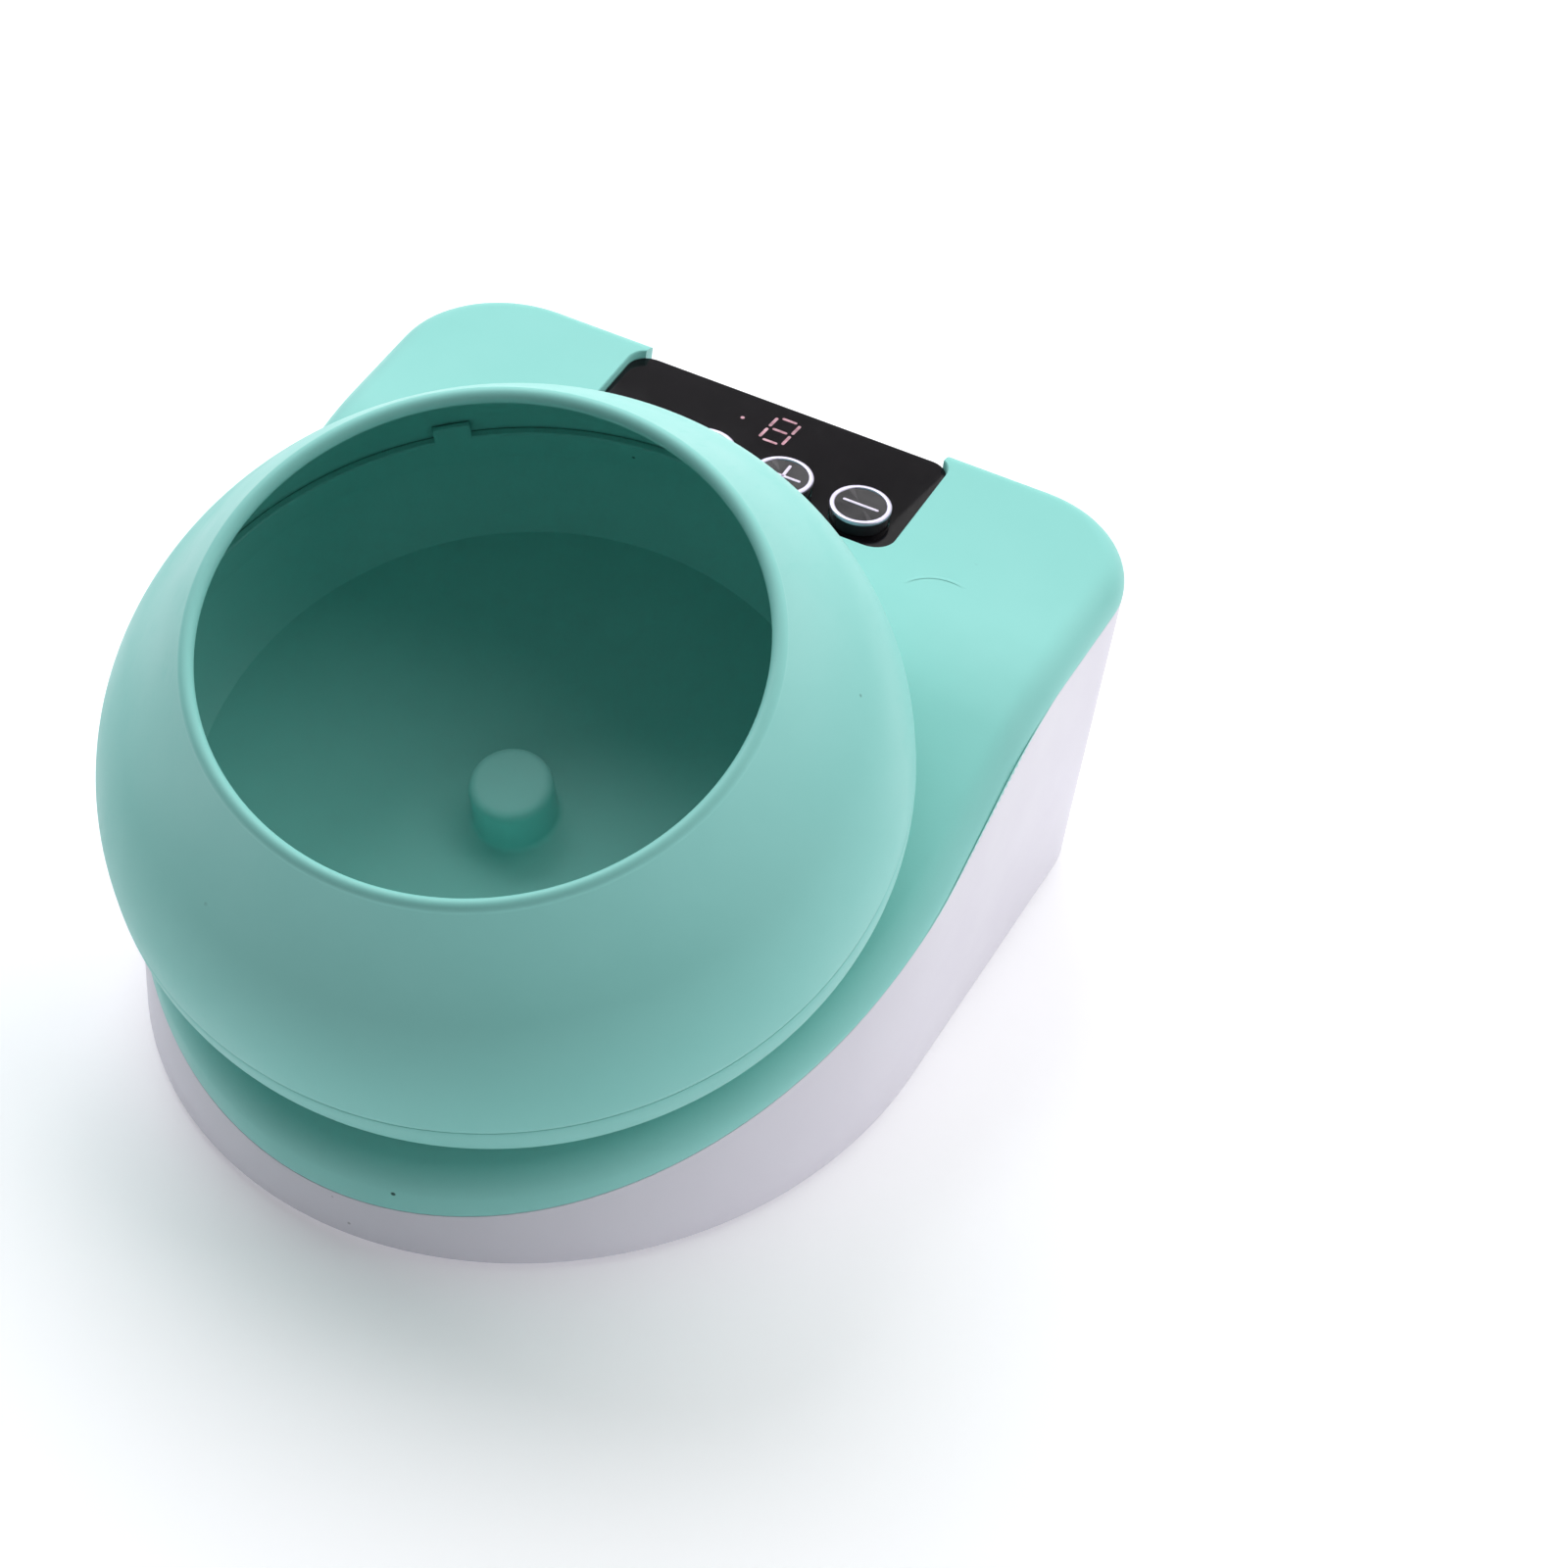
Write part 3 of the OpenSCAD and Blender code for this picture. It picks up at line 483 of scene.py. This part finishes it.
def make_base():
    bottom = foot_h
    bottom_edge = 0.8 * mm
    nearly = 0.25 * mm
    rows = [whole_row(lambda s: wall_point(s, bottom + floor_t, wall))]
    rows.append(whole_row(lambda s: seam_point(s, 0, wall)))
    rows.append(whole_row(lambda s: seam_point(s, 0, soft)))
    rows.append(whole_row(lambda s: seam_point(s, -nick, nick)))
    rows.append(whole_row(lambda s: seam_point(s, -soft, 0)))
    rows.append(whole_row(lambda s: wall_point(s, bottom + bottom_edge, 0)))
    rows.append(whole_row(lambda s: wall_point(s, bottom + nearly, nearly)))
    rows.append(whole_row(lambda s: wall_point(s, bottom, bottom_edge)))
    base = skin("base_skin", rows, cross_strips(), cross_strips())
    combine(base, notch_block(seam_rear_z - wall, seam_rear_z), "UNION")
    combine(base, join(base_holes(), "holes"), "DIFFERENCE")
    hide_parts("base_shell")
    return finish_piece(base, "case", materials["white"])


def base_holes():
    """Recesses for the feet, wells for the case screws and the power inlet's hole."""
    holes = []
    for node in frame["nodes"]:
        if node.startswith("foot_"):
            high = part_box(node)[1]
            holes.append(plate("hole", disc_outline(middle_of(node), foot_hole_r, 64), foot_h - mm, high.z))
    for centre in screw_places():
        holes.append(plate("hole", disc_outline(centre, screw_hole_r), foot_h - mm, foot_h + 2 * floor_t))
    low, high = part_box("power_inlet")
    centre = Vector((0, high.y, (low.z + high.z) / 2))
    place = Matrix.Translation(centre) @ Matrix.Rotation(math.radians(90), 4, "X")
    depth = 8 * mm
    holes.append(revolve("hole", [(0, -mm), (inlet_r, -mm), (inlet_r, depth), (0, depth)], 48, place))
    return holes


def screw_places():
    """Centres of the six case screws, from the corners of the screws' loose pieces."""
    points = [v.co for v in frame["nodes"]["case_screws"].data.vertices]
    head = 7 * mm
    groups = []
    for p in points:
        near = next((g for g in groups if abs(g[0].x - p.x) < head and abs(g[0].y - p.y) < head), None)
        if near:
            near.append(p)
        else:
            groups.append([p])
    return [((min(p.x for p in g) + max(p.x for p in g)) / 2,
             (min(p.y for p in g) + max(p.y for p in g)) / 2) for g in groups]


# ---------- Bowl ----------

def make_hood():
    """The bowl's upper shell, from the joint over the shoulder to the rolled rim."""
    centre = (bowl_r - shoulder_r, shoulder_h)
    foot = joint_h + joint_gap
    outer = [(bowl_r - soft, foot), (bowl_r - nick, foot + nick), (bowl_r, foot + soft)]
    outer += arc(centre, shoulder_r, 0, shoulder_lean, 24)
    bead = arc((rim_r, rim_h), rim_bead, 0, 215, 20)
    inner = arc(centre, shoulder_r - bowl_wall, shoulder_lean, 0, 24)
    profile = outer + bead + inner + [(bowl_r - bowl_wall, foot)]
    hood = revolve("hood_skin", profile, 256, bowl_place)
    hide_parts("bowl_hood")
    return finish_piece(hood, "hood", materials["mint_bowl"])


def make_pan():
    """The bowl's lower shell with its post, its lip inside the hood and the snap tabs on it."""
    corner = (bowl_r - pan_corner, pan_corner - pan_depth)
    lip_in = lip_r - lip_t
    lip_top = joint_h + lip_h
    outer = [(0, -pan_depth)] + arc(corner, pan_corner, -90, 0, 24)
    outer += [(bowl_r, joint_h - soft), (bowl_r - nick, joint_h - nick), (bowl_r - soft, joint_h)]
    lip = [(lip_r, joint_h), (lip_r, lip_top - lip_edge), (lip_r - lip_edge, lip_top),
           (lip_in + lip_edge, lip_top), (lip_in, lip_top - lip_edge)]
    floor = -pan_depth + bowl_wall
    inner = bulge((lip_in, curve_top), (pan_floor_r, floor), pan_side_r, 24)
    fillet_r = 1.2 * mm
    fillet = arc((post_r + fillet_r, floor + fillet_r), fillet_r, 270, 180, 6)
    post = arc((post_r - post_edge, -post_top - post_edge), post_edge, 0, 90, 10) + [(0, -post_top)]
    pan = revolve("pan_skin", outer + lip + inner + fillet + post, 256, bowl_place)
    set_in = 0.5 * mm
    for turn in tab_turns:
        combine(pan, snap_tab(lip_r - set_in, lip_t - set_in, lip_top, turn), "UNION")
    socket = plate("socket", disc_outline((0, 0), hex_r, 6), -pan_depth - mm, hex_top)
    socket.data.transform(bowl_place)
    combine(pan, socket, "DIFFERENCE")
    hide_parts("bowl_pan")
    return finish_piece(pan, "pan", materials["mint_bowl"])


def snap_tab(radius, thickness, low, turn):
    """A short raised stretch of the pan's lip, which snaps into the hood."""
    first = turn - tab_half_angle
    last = turn + tab_half_angle
    outer = arc((0, 0), radius, first, last, 12)
    inner = arc((0, 0), radius - thickness, last, first, 12)
    tab = plate("tab", outer + inner, low - mm, low + tab_h, lip_edge)
    tab.data.transform(bowl_place)
    return tab


# ---------- Control panel ----------

def make_window():
    outline = rounded_outline(panel_half, panel_front, panel_rear, panel_corner)
    window = plate("window_skin", outline, shelf_z, window_z, 0.3 * mm)
    hole_r = 6.1 * mm
    holes = [plate("hole", disc_outline(middle_of(name + "_ring"), hole_r, 96), shelf_z - mm, window_z + mm)
             for name in button_names]
    combine(window, join(holes, "holes"), "DIFFERENCE")
    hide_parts("panel_window")
    return finish_piece(window, "case", materials["window"])


def make_button(name):
    """One push button: its black cap and stem, the bright ring round its face, and its sign."""
    x, y = middle_of(name + "_ring")
    ring_low, ring_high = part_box(name + "_ring")
    place = Matrix.Translation((x, y, 0))
    body = name + "_key"
    top = ring_high.z
    inner = ring_r - ring_w
    face = top - 0.25 * mm

    cap = revolve(name + "_cap", stem_profile(name) + cap_profile(ring_low.z, inner, face), 96, place)
    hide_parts(name + "_button")
    finish_piece(cap, body, materials["button"])

    ring = revolve(name + "_bezel", ring_profile(ring_low.z, inner, top), 96, place)
    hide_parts(name + "_ring")
    finish_piece(ring, body, materials["ring"])

    strokes = []
    for line in sign_lines(name):
        outline = ribbon([(x + px * mm, y + py * mm) for px, py in line], sign_w)
        strokes.append(plate("stroke", outline, face - 0.3 * mm, face + 0.06 * mm, 0.05 * mm, 2))
    sign = join(strokes, name + "_sign_skin")
    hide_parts(name + "_sign")
    return finish_piece(sign, body, materials["print"])


def stem_profile(name):
    """The button's stem from its plunger up, and out to the cap's side."""
    plunger_r = 3.6 * mm
    plunger_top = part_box(name + "_plunger")[1].z
    collar_top = shelf_low - 0.2 * mm
    cap_low = shelf_z + 0.6 * mm
    return [(0, plunger_top), (plunger_r, plunger_top), (plunger_r, collar_top), (stem_r, collar_top),
            (stem_r, cap_low), (cap_r, cap_low)]


def cap_profile(shoulder, inner, face):
    """The cap's side up to the ring, and its face a little hollow inside the ring."""
    rim = 0.15 * mm
    hollow = 0.12 * mm
    return [(cap_r, shoulder - nick), (cap_r - nick, shoulder), (inner, shoulder),
            (inner, face), (inner - rim, face), (0, face - hollow)]


def ring_profile(low, inner, top):
    """Cross-section of the bright ring, rounder outside than inside."""
    chamfer = 0.15 * mm
    inner_edge = 0.3 * mm
    profile = [(inner, low), (ring_r - chamfer, low), (ring_r, low + chamfer)]
    profile += arc((ring_r - ring_edge, top - ring_edge), ring_edge, 0, 90, 8)
    profile += arc((inner + inner_edge, top - inner_edge), inner_edge, 90, 180, 6)
    return profile


def sign_lines(name):
    """Centre lines of a button's sign, in millimetres from the button's middle."""
    if name == "power":
        return [arc((0, 0), 2.3, 125, 415, 24), [(0, 0.9), (0, 3.1)]]
    if name == "mode":
        return [[(-2.7, 0.9), (2.7, 0.9), (1.4, 2.4)], [(2.7, -0.9), (-2.7, -0.9), (-1.4, -2.4)]]
    if name == "plus":
        return [[(-3.5, 0), (3.5, 0)], [(0, -3.5), (0, 3.5)]]
    return [[(-3.5, 0), (3.5, 0)]]


def make_digit():
    """Seven lit bars that lean a little to the right."""
    low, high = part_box("display_segments")
    height = high.y - low.y
    width = high.x - low.x - height * digit_slant
    middle = Vector(middle_of("display_segments"))
    side = (width - digit_stroke) / 2
    top = (height - digit_stroke) / 2
    across_half = (width - 4.7 * digit_stroke) / 2
    upright_half = height / 4 - 1.3 * digit_stroke
    bars = [(0, y, across_half, 0) for y in (-top, 0, top)]
    bars += [(x, y, 0, upright_half) for x in (-side, side) for y in (-top / 2, top / 2)]
    lit = []
    for x, y, reach_x, reach_y in bars:
        ends = [(x - reach_x, y - reach_y), (x + reach_x, y + reach_y)]
        line = [(middle.x + px + py * digit_slant, middle.y + py) for px, py in ends]
        lit.append(plate("bar", ribbon(line, digit_stroke), window_z - 0.3 * mm, window_z + 0.03 * mm))
    digit = join(lit, "digit_skin")
    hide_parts("display_segments")
    return finish_piece(digit, "case", materials["lit"])


def make_indicator():
    low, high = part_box("indicator_lens")
    place = Matrix.Translation((*middle_of("indicator_lens"), 0))
    r = (high.x - low.x) / 2
    profile = [(0, low.z), (r, low.z), (r, high.z - nick), (r - nick, high.z), (0, high.z + 0.03 * mm)]
    lens = revolve("indicator_skin", profile, 48, place)
    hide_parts("indicator_lens")
    return finish_piece(lens, "case", materials["lit"])


def make_foot(node):
    low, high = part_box(node)
    place = Matrix.Translation((*middle_of(node), 0))
    r = (high.x - low.x) / 2
    groove_top = low.z + 0.3 * mm
    groove = [(r * 0.42, low.z), (r * 0.45, groove_top), (r * 0.52, groove_top), (r * 0.55, low.z)]
    edge = 0.9 * mm
    profile = [(0, low.z)] + groove + arc((r - edge, low.z + edge), edge, -90, 0, 6)
    profile += [(r, high.z), (0, high.z)]
    foot = revolve(node + "_skin", profile, 96, place)
    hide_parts(node)
    return finish_piece(foot, "case", materials["foot"])


# ---------- Materials ----------

class Look:
    """Builds one material's nodes. Textures use the object's own coordinates, in metres."""

    def __init__(self, name):
        self.material = bpy.data.materials.new(name)
        self.material.use_nodes = True
        self.tree = self.material.node_tree
        self.tree.nodes.clear()
        self.place = self.node("ShaderNodeTexCoord").outputs["Object"]

    def node(self, kind, inputs=None, **settings):
        made = self.tree.nodes.new(kind)
        for key, value in settings.items():
            setattr(made, key, value)
        for key, value in (inputs or {}).items():
            if isinstance(value, bpy.types.NodeSocket):
                self.tree.links.new(value, made.inputs[key])
            else:
                made.inputs[key].default_value = value
        return made

    def noise(self, scale, detail=3.0, roughness=0.5, stretch=None):
        place = self.place
        if stretch:
            place = self.node("ShaderNodeMapping", {"Vector": place, "Scale": stretch}).outputs["Vector"]
        made = self.node("ShaderNodeTexNoise", {"Vector": place, "Scale": scale, "Detail": detail,
                                                "Roughness": roughness})
        return made.outputs["Fac"]

    def cells(self, scale):
        """Distance to the nearest of many scattered points."""
        return self.node("ShaderNodeTexVoronoi", {"Vector": self.place, "Scale": scale}).outputs["Distance"]

    def spread(self, value, low, high, out_low=0.0, out_high=1.0):
        made = self.node("ShaderNodeMapRange", {"Value": value, "From Min": low, "From Max": high,
                                                "To Min": out_low, "To Max": out_high})
        return made.outputs["Result"]

    def maths(self, operation, a, b=0.0):
        return self.node("ShaderNodeMath", {0: a, 1: b}, operation=operation).outputs["Value"]

    def blend(self, share, a, b):
        made = self.node("ShaderNodeMix", data_type="RGBA")
        for key, value in ((0, share), (6, a), (7, b)):
            if isinstance(value, bpy.types.NodeSocket):
                self.tree.links.new(value, made.inputs[key])
            else:
                made.inputs[key].default_value = value
        return made.outputs[2]

    def bump(self, height, distance, strength=1.0, before=None):
        inputs = {"Height": height, "Distance": distance, "Strength": strength}
        if before:
            inputs["Normal"] = before
        return self.node("ShaderNodeBump", inputs).outputs["Normal"]

    def edges(self, low, high):
        """1 on worn outer edges, 0 elsewhere."""
        bend = self.node("ShaderNodeNewGeometry").outputs["Pointiness"]
        return self.spread(bend, low, high)

    def surface(self, **inputs):
        names = {"color": "Base Color", "roughness": "Roughness", "metallic": "Metallic", "normal": "Normal",
                 "ior": "IOR", "specular": "Specular IOR Level",
                 "emission": "Emission Color", "emission_strength": "Emission Strength"}
        shader = self.node("ShaderNodeBsdfPrincipled", {names[k]: v for k, v in inputs.items()})
        self.node("ShaderNodeOutputMaterial", {"Surface": shader.outputs["BSDF"]})
        return self.material


def rgb(r, g, b):
    """Linear colour from display values 0 to 255."""
    def linear(v):
        v = v / 255
        return v / 12.92 if v <= 0.04045 else ((v + 0.055) / 1.055) ** 2.4
    return (linear(r), linear(g), linear(b), 1.0)


def moulded(name, colour, deep, roughness, speck_colour, witness=None):
    """Satin moulded plastic: faint clouds, fine grain, a few dark specks and faint scuffs."""
    look = Look(name)
    clouds = look.spread(look.noise(14, 4), 0.3, 0.7)
    tone = look.blend(clouds, colour, deep)
    patches = look.spread(look.noise(90, 3), 0.35, 0.75, 0.0, 0.25)
    tone = look.blend(patches, tone, deep)
    specks = look.maths("MULTIPLY", look.spread(look.cells(95), 0.055, 0.03),
                        look.spread(look.noise(37, 1), 0.56, 0.6))
    tone = look.blend(specks, tone, speck_colour)
    scuffs = look.spread(look.noise(700, 2, stretch=(1, 0.12, 0.4)), 0.55, 0.8, 0.0, 0.08)
    gloss = look.spread(look.noise(45, 4), 0.3, 0.7, roughness - 0.05, roughness + 0.07)
    gloss = look.maths("ADD", gloss, scuffs)
    normal = look.bump(look.noise(2600, 2), 0.00002, 0.5)
    normal = look.bump(look.noise(60, 2), 0.00018, 0.25, normal)
    if witness:
        normal = look.bump(witness(look), 0.00025, 1.0, normal)
    return look.surface(color=tone, roughness=gloss, normal=normal, ior=1.48, specular=0.18)


def boss_mark(look):
    """Height of a faint arc on each side of the deck, on the rear side of a circle of 8 mm radius."""
    split = look.node("ShaderNodeSeparateXYZ", {"Vector": look.place})
    across = look.maths("ABSOLUTE", split.outputs["X"])
    dx = look.maths("SUBTRACT", across, 49.4 * mm)
    dy = look.maths("SUBTRACT", split.outputs["Y"], widest_y + 48 * mm)
    squares = look.maths("ADD", look.maths("MULTIPLY", dx, dx), look.maths("MULTIPLY", dy, dy))
    away = look.maths("SQRT", squares)
    rise = look.maths("MULTIPLY", look.spread(away, 7.6 * mm, 7.9 * mm),
                      look.spread(away, 8.6 * mm, 7.9 * mm))
    along = look.maths("SUBTRACT", look.maths("MULTIPLY", dy, 0.91), look.maths("MULTIPLY", dx, 0.42))
    rear_only = look.spread(along, 5.5 * mm, 7 * mm)
    return look.maths("MULTIPLY", rise, rear_only)


def smoked_window():
    """Dark glossy plastic with smudges and a little dust."""
    look = Look("window")
    smudge = look.spread(look.noise(55, 5, 0.6), 0.42, 0.75)
    dust = look.spread(look.cells(420), 0.09, 0.02)
    dust = look.maths("MULTIPLY", dust, look.spread(look.noise(60, 1), 0.55, 0.65, 0.0, 0.12))
    tone = look.blend(smudge, rgb(13, 10, 13), rgb(18, 14, 18))
    tone = look.blend(dust, tone, rgb(120, 116, 120))
    gloss = look.spread(look.noise(38, 5, 0.6), 0.35, 0.75, 0.09, 0.2)
    normal = look.bump(look.noise(40, 1), 0.00006, 0.15)
    return look.surface(color=tone, roughness=gloss, normal=normal, ior=1.5, specular=0.15)


def button_black():
    """Black satin plastic, rubbed paler on its edges."""
    look = Look("button")
    tone = look.blend(look.spread(look.noise(300, 4), 0.3, 0.7), rgb(20, 17, 20), rgb(28, 24, 28))
    rubbed = look.maths("MULTIPLY", look.edges(0.52, 0.62), 0.4)
    tone = look.blend(rubbed, tone, rgb(92, 88, 92))
    gloss = look.spread(look.noise(240, 4), 0.3, 0.7, 0.16, 0.28)
    normal = look.bump(look.noise(3000, 2), 0.00001, 0.4)
    return look.surface(color=tone, roughness=gloss, normal=normal, ior=1.5)


def metal(name, colour, deep, low, high, streak=None, grain=900.0, depth=0.00001):
    """Metal with tarnish clouds, scratches along one direction and rubbed edges."""
    look = Look(name)
    clouds = look.spread(look.noise(120, 5, 0.6), 0.35, 0.7)
    tone = look.blend(clouds, colour, deep)
    lines = look.noise(grain, 3, 0.6, stretch=streak or (1, 1, 0.06))
    tone = look.blend(look.spread(lines, 0.5, 0.8, 0.0, 0.35), tone, deep)
    tone = look.blend(look.maths("MULTIPLY", look.edges(0.52, 0.6), 0.3), tone, rgb(240, 240, 244))
    gloss = look.spread(lines, 0.3, 0.75, low, high)
    normal = look.bump(lines, depth, 0.6)
    return look.surface(color=tone, roughness=gloss, metallic=1.0, normal=normal)


def dull(name, colour, deep, low, high, grain, depth):
    """Rubber, nylon, fibre and other dull materials: mottled, grainy, dusty in patches."""
    look = Look(name)
    tone = look.blend(look.spread(look.noise(grain / 12, 4), 0.3, 0.7), colour, deep)
    dust = look.spread(look.noise(grain / 5, 5, 0.65), 0.55, 0.8, 0.0, 0.2)
    tone = look.blend(dust, tone, rgb(170, 168, 162))
    gloss = look.spread(look.noise(grain / 4, 3), 0.3, 0.7, low, high)
    normal = look.bump(look.noise(grain, 3), depth, 0.7)
    return look.surface(color=tone, roughness=gloss, normal=normal, ior=1.47)


def lit_plastic():
    """Pink light behind a thin dark skin, a little uneven."""
    look = Look("lit")
    glow = look.blend(look.spread(look.noise(900, 2), 0.35, 0.65), rgb(196, 132, 150), rgb(236, 190, 204))
    pulse = look.spread(look.noise(420, 2), 0.35, 0.65, 0.45, 0.85)
    return look.surface(color=rgb(90, 60, 68), roughness=0.35, emission=glow, emission_strength=pulse)


def printed():
    """Pale print with a painted glow: a little emission lights it, though the print is no lamp."""
    look = Look("print")
    tone = look.blend(look.spread(look.noise(1500, 3), 0.3, 0.7), rgb(232, 222, 238), rgb(206, 196, 214))
    # painted glow: emission stands in for the light that falls on the print
    glow = look.blend(look.spread(look.noise(700, 2), 0.3, 0.7), rgb(150, 140, 156), rgb(120, 112, 126))
    normal = look.bump(look.noise(4000, 2), 0.00001, 0.4)
    return look.surface(color=tone, roughness=0.35, normal=normal, emission=glow, emission_strength=0.35)


def circuit_board():
    """Green board with paler tracks."""
    look = Look("board")
    tracks = look.node("ShaderNodeTexBrick", {"Vector": look.place, "Scale": 260.0, "Mortar Size": 0.03,
                                              "Color1": rgb(24, 96, 52), "Color2": rgb(30, 108, 60),
                                              "Mortar": rgb(52, 140, 84)})
    clouds = look.spread(look.noise(160, 3), 0.4, 0.7, 0.0, 0.4)
    tone = look.blend(clouds, tracks.outputs["Color"], rgb(14, 64, 34))
    normal = look.bump(tracks.outputs["Fac"], 0.00003, 0.5)
    gloss = look.spread(look.noise(200, 3), 0.3, 0.7, 0.2, 0.35)
    return look.surface(color=tone, roughness=gloss, normal=normal, ior=1.5)


def floor_white():
    """Nearly white paper that glows a little, so that shadows stay pale."""
    look = Look("floor")
    tone = look.blend(look.spread(look.noise(3, 3), 0.3, 0.7), rgb(250, 250, 251), rgb(246, 246, 248))
    gloss = look.spread(look.noise(8, 3), 0.3, 0.7, 0.55, 0.65)
    return look.surface(color=tone, roughness=gloss, specular=0.1, emission=rgb(250, 250, 252),
                        emission_strength=0.2)


def make_materials():
    mint = rgb(147, 214, 207)
    mint_deep = rgb(138, 208, 200)
    speck = rgb(44, 84, 78)
    steel = rgb(190, 192, 196)
    return {
        "mint": moulded("mint", mint, mint_deep, 0.42, speck, boss_mark),
        "mint_bowl": moulded("mint_bowl", mint, mint_deep, 0.4, speck),
        "white": moulded("white", rgb(232, 230, 238), rgb(226, 223, 233), 0.42, rgb(150, 146, 150)),
        "window": smoked_window(),
        "button": button_black(),
        "ring": metal("ring", rgb(214, 210, 226), rgb(190, 184, 204), 0.36, 0.5, (1, 1, 1), 1400),
        "print": printed(),
        "lit": lit_plastic(),
        "foot": dull("foot", rgb(34, 34, 35), rgb(22, 22, 23), 0.6, 0.85, 1500, 0.00006),
        "board": circuit_board(),
        "module": dull("module", rgb(214, 214, 216), rgb(196, 196, 200), 0.4, 0.55, 1200, 0.00002),
        "black": dull("black", rgb(30, 30, 31), rgb(20, 20, 21), 0.35, 0.55, 1600, 0.00003),
        "steel": metal("steel", steel, rgb(150, 152, 158), 0.25, 0.45),
        "shaft": metal("shaft", rgb(206, 208, 212), rgb(176, 178, 184), 0.1, 0.25),
        "bronze": metal("bronze", rgb(196, 142, 92), rgb(134, 88, 52), 0.35, 0.6, (1, 1, 1), 2200, 0.00003),
        "nylon": dull("nylon", rgb(236, 231, 216), rgb(222, 215, 196), 0.4, 0.55, 1400, 0.00003),
        "washer": dull("washer", rgb(176, 62, 46), rgb(140, 44, 34), 0.55, 0.7, 2000, 0.00004),
        "spring_steel": metal("spring_steel", rgb(86, 86, 92), rgb(52, 52, 56), 0.3, 0.5),
        "wire": dull("wire", rgb(168, 34, 30), rgb(128, 24, 22), 0.4, 0.55, 1200, 0.00002),
        "floor": floor_white(),
    }


# ---------- Stage ----------

def make_floor():
    """A pale floor that curves up far behind the object."""
    half = 4.0
    bend = 1.0
    front = -3.0
    bend_from = 2.0
    height = 4.0
    depth = [(front, 0.0), (bend_from, 0.0)] + arc((bend_from, bend), bend, -90, 0, 16)
    depth += [(bend_from + bend, height)]
    verts = [(x, y, z) for y, z in depth for x in (-half, half)]
    faces = [[2 * k, 2 * k + 1, 2 * k + 3, 2 * k + 2] for k in range(len(depth) - 1)]
    floor = make_object("floor", verts, faces)
    if floor.data.polygons[0].normal.z < 0:
        floor.data.flip_normals()
    for face in floor.data.polygons:
        face.use_smooth = True
    floor.data.materials.append(materials["floor"])


def area_light(name, place, size, power, colour):
    """A soft light that faces the middle of the object."""
    light = bpy.data.lights.new(name, "AREA")
    light.shape = "DISK"
    light.size = size
    light.energy = power
    light.color = colour
    holder = bpy.data.objects.new(name, light)
    holder.location = place
    target = Vector((0, 0, 0.06))
    holder.rotation_euler = (target - holder.location).to_track_quat("-Z", "Y").to_euler()
    bpy.context.scene.collection.objects.link(holder)


def make_lights():
    """Two large soft lights above the rear right and the rear left, a low one on the right, a faint sky."""
    area_light("key", Vector((0.30, 0.48, 0.82)).normalized() * 2.0, 2.8, 28, (1.0, 0.995, 0.985))
    area_light("fill", Vector((-0.56, 0.38, 0.74)).normalized() * 1.8, 1.8, 26, (0.97, 0.98, 1.0))
    area_light("side", Vector((0.93, 0.10, 0.36)).normalized() * 1.8, 1.2, 6, (0.99, 0.98, 1.0))
    world = bpy.data.worlds.new("studio")
    world.use_nodes = True
    sky = world.node_tree.nodes["Background"]
    sky.inputs["Color"].default_value = (0.95, 0.97, 1.0, 1.0)
    sky.inputs["Strength"].default_value = 0.12
    bpy.context.scene.world = world
    bpy.context.scene.view_settings.view_transform = "Standard"


def make_camera():
    """Looks down on the right-hand front of the object, rolled a little."""
    azimuth = math.radians(19.667)
    elevation = math.radians(40.42)
    roll = math.radians(8.178)
    back = Vector((math.sin(azimuth) * math.cos(elevation), -math.cos(azimuth) * math.cos(elevation),
                   math.sin(elevation)))
    level = Vector((math.cos(azimuth), math.sin(azimuth), 0))
    upward = back.cross(level)
    right = level * math.cos(roll) + upward * math.sin(roll)
    up = upward * math.cos(roll) - level * math.sin(roll)
    camera = bpy.data.cameras.new("camera")
    camera.lens = 123.75
    camera.sensor_width = 36
    holder = bpy.data.objects.new("camera", camera)
    aim = Vector((0, widest_y, foot_h))
    place = aim + right * 43.93 * mm + up * 30.54 * mm + back * 1052.18 * mm
    turn = Matrix((right, up, back)).transposed().to_4x4()
    holder.matrix_world = Matrix.Translation(place) @ turn
    bpy.context.scene.collection.objects.link(holder)
    bpy.context.scene.camera = holder


# ---------- Build ----------

def dress_cad_nodes():
    """Gives every CAD node the material of its slot; replaced nodes aren't shown anyway."""
    for node, piece in frame["nodes"].items():
        piece.data.materials.clear()
        piece.data.materials.append(materials[slots[node]])
        for face in piece.data.polygons:
            face.use_smooth = True
            face.material_index = 0
        piece.data.set_sharp_from_angle(angle=math.radians(28))


materials = make_materials()
dress_cad_nodes()
make_base()
make_cover()
make_pan()
make_hood()
make_window()
for button in button_names:
    make_button(button)
make_digit()
make_indicator()
for node_name in list(frame["nodes"]):
    if node_name.startswith("foot_"):
        make_foot(node_name)
make_floor()
make_lights()
make_camera()
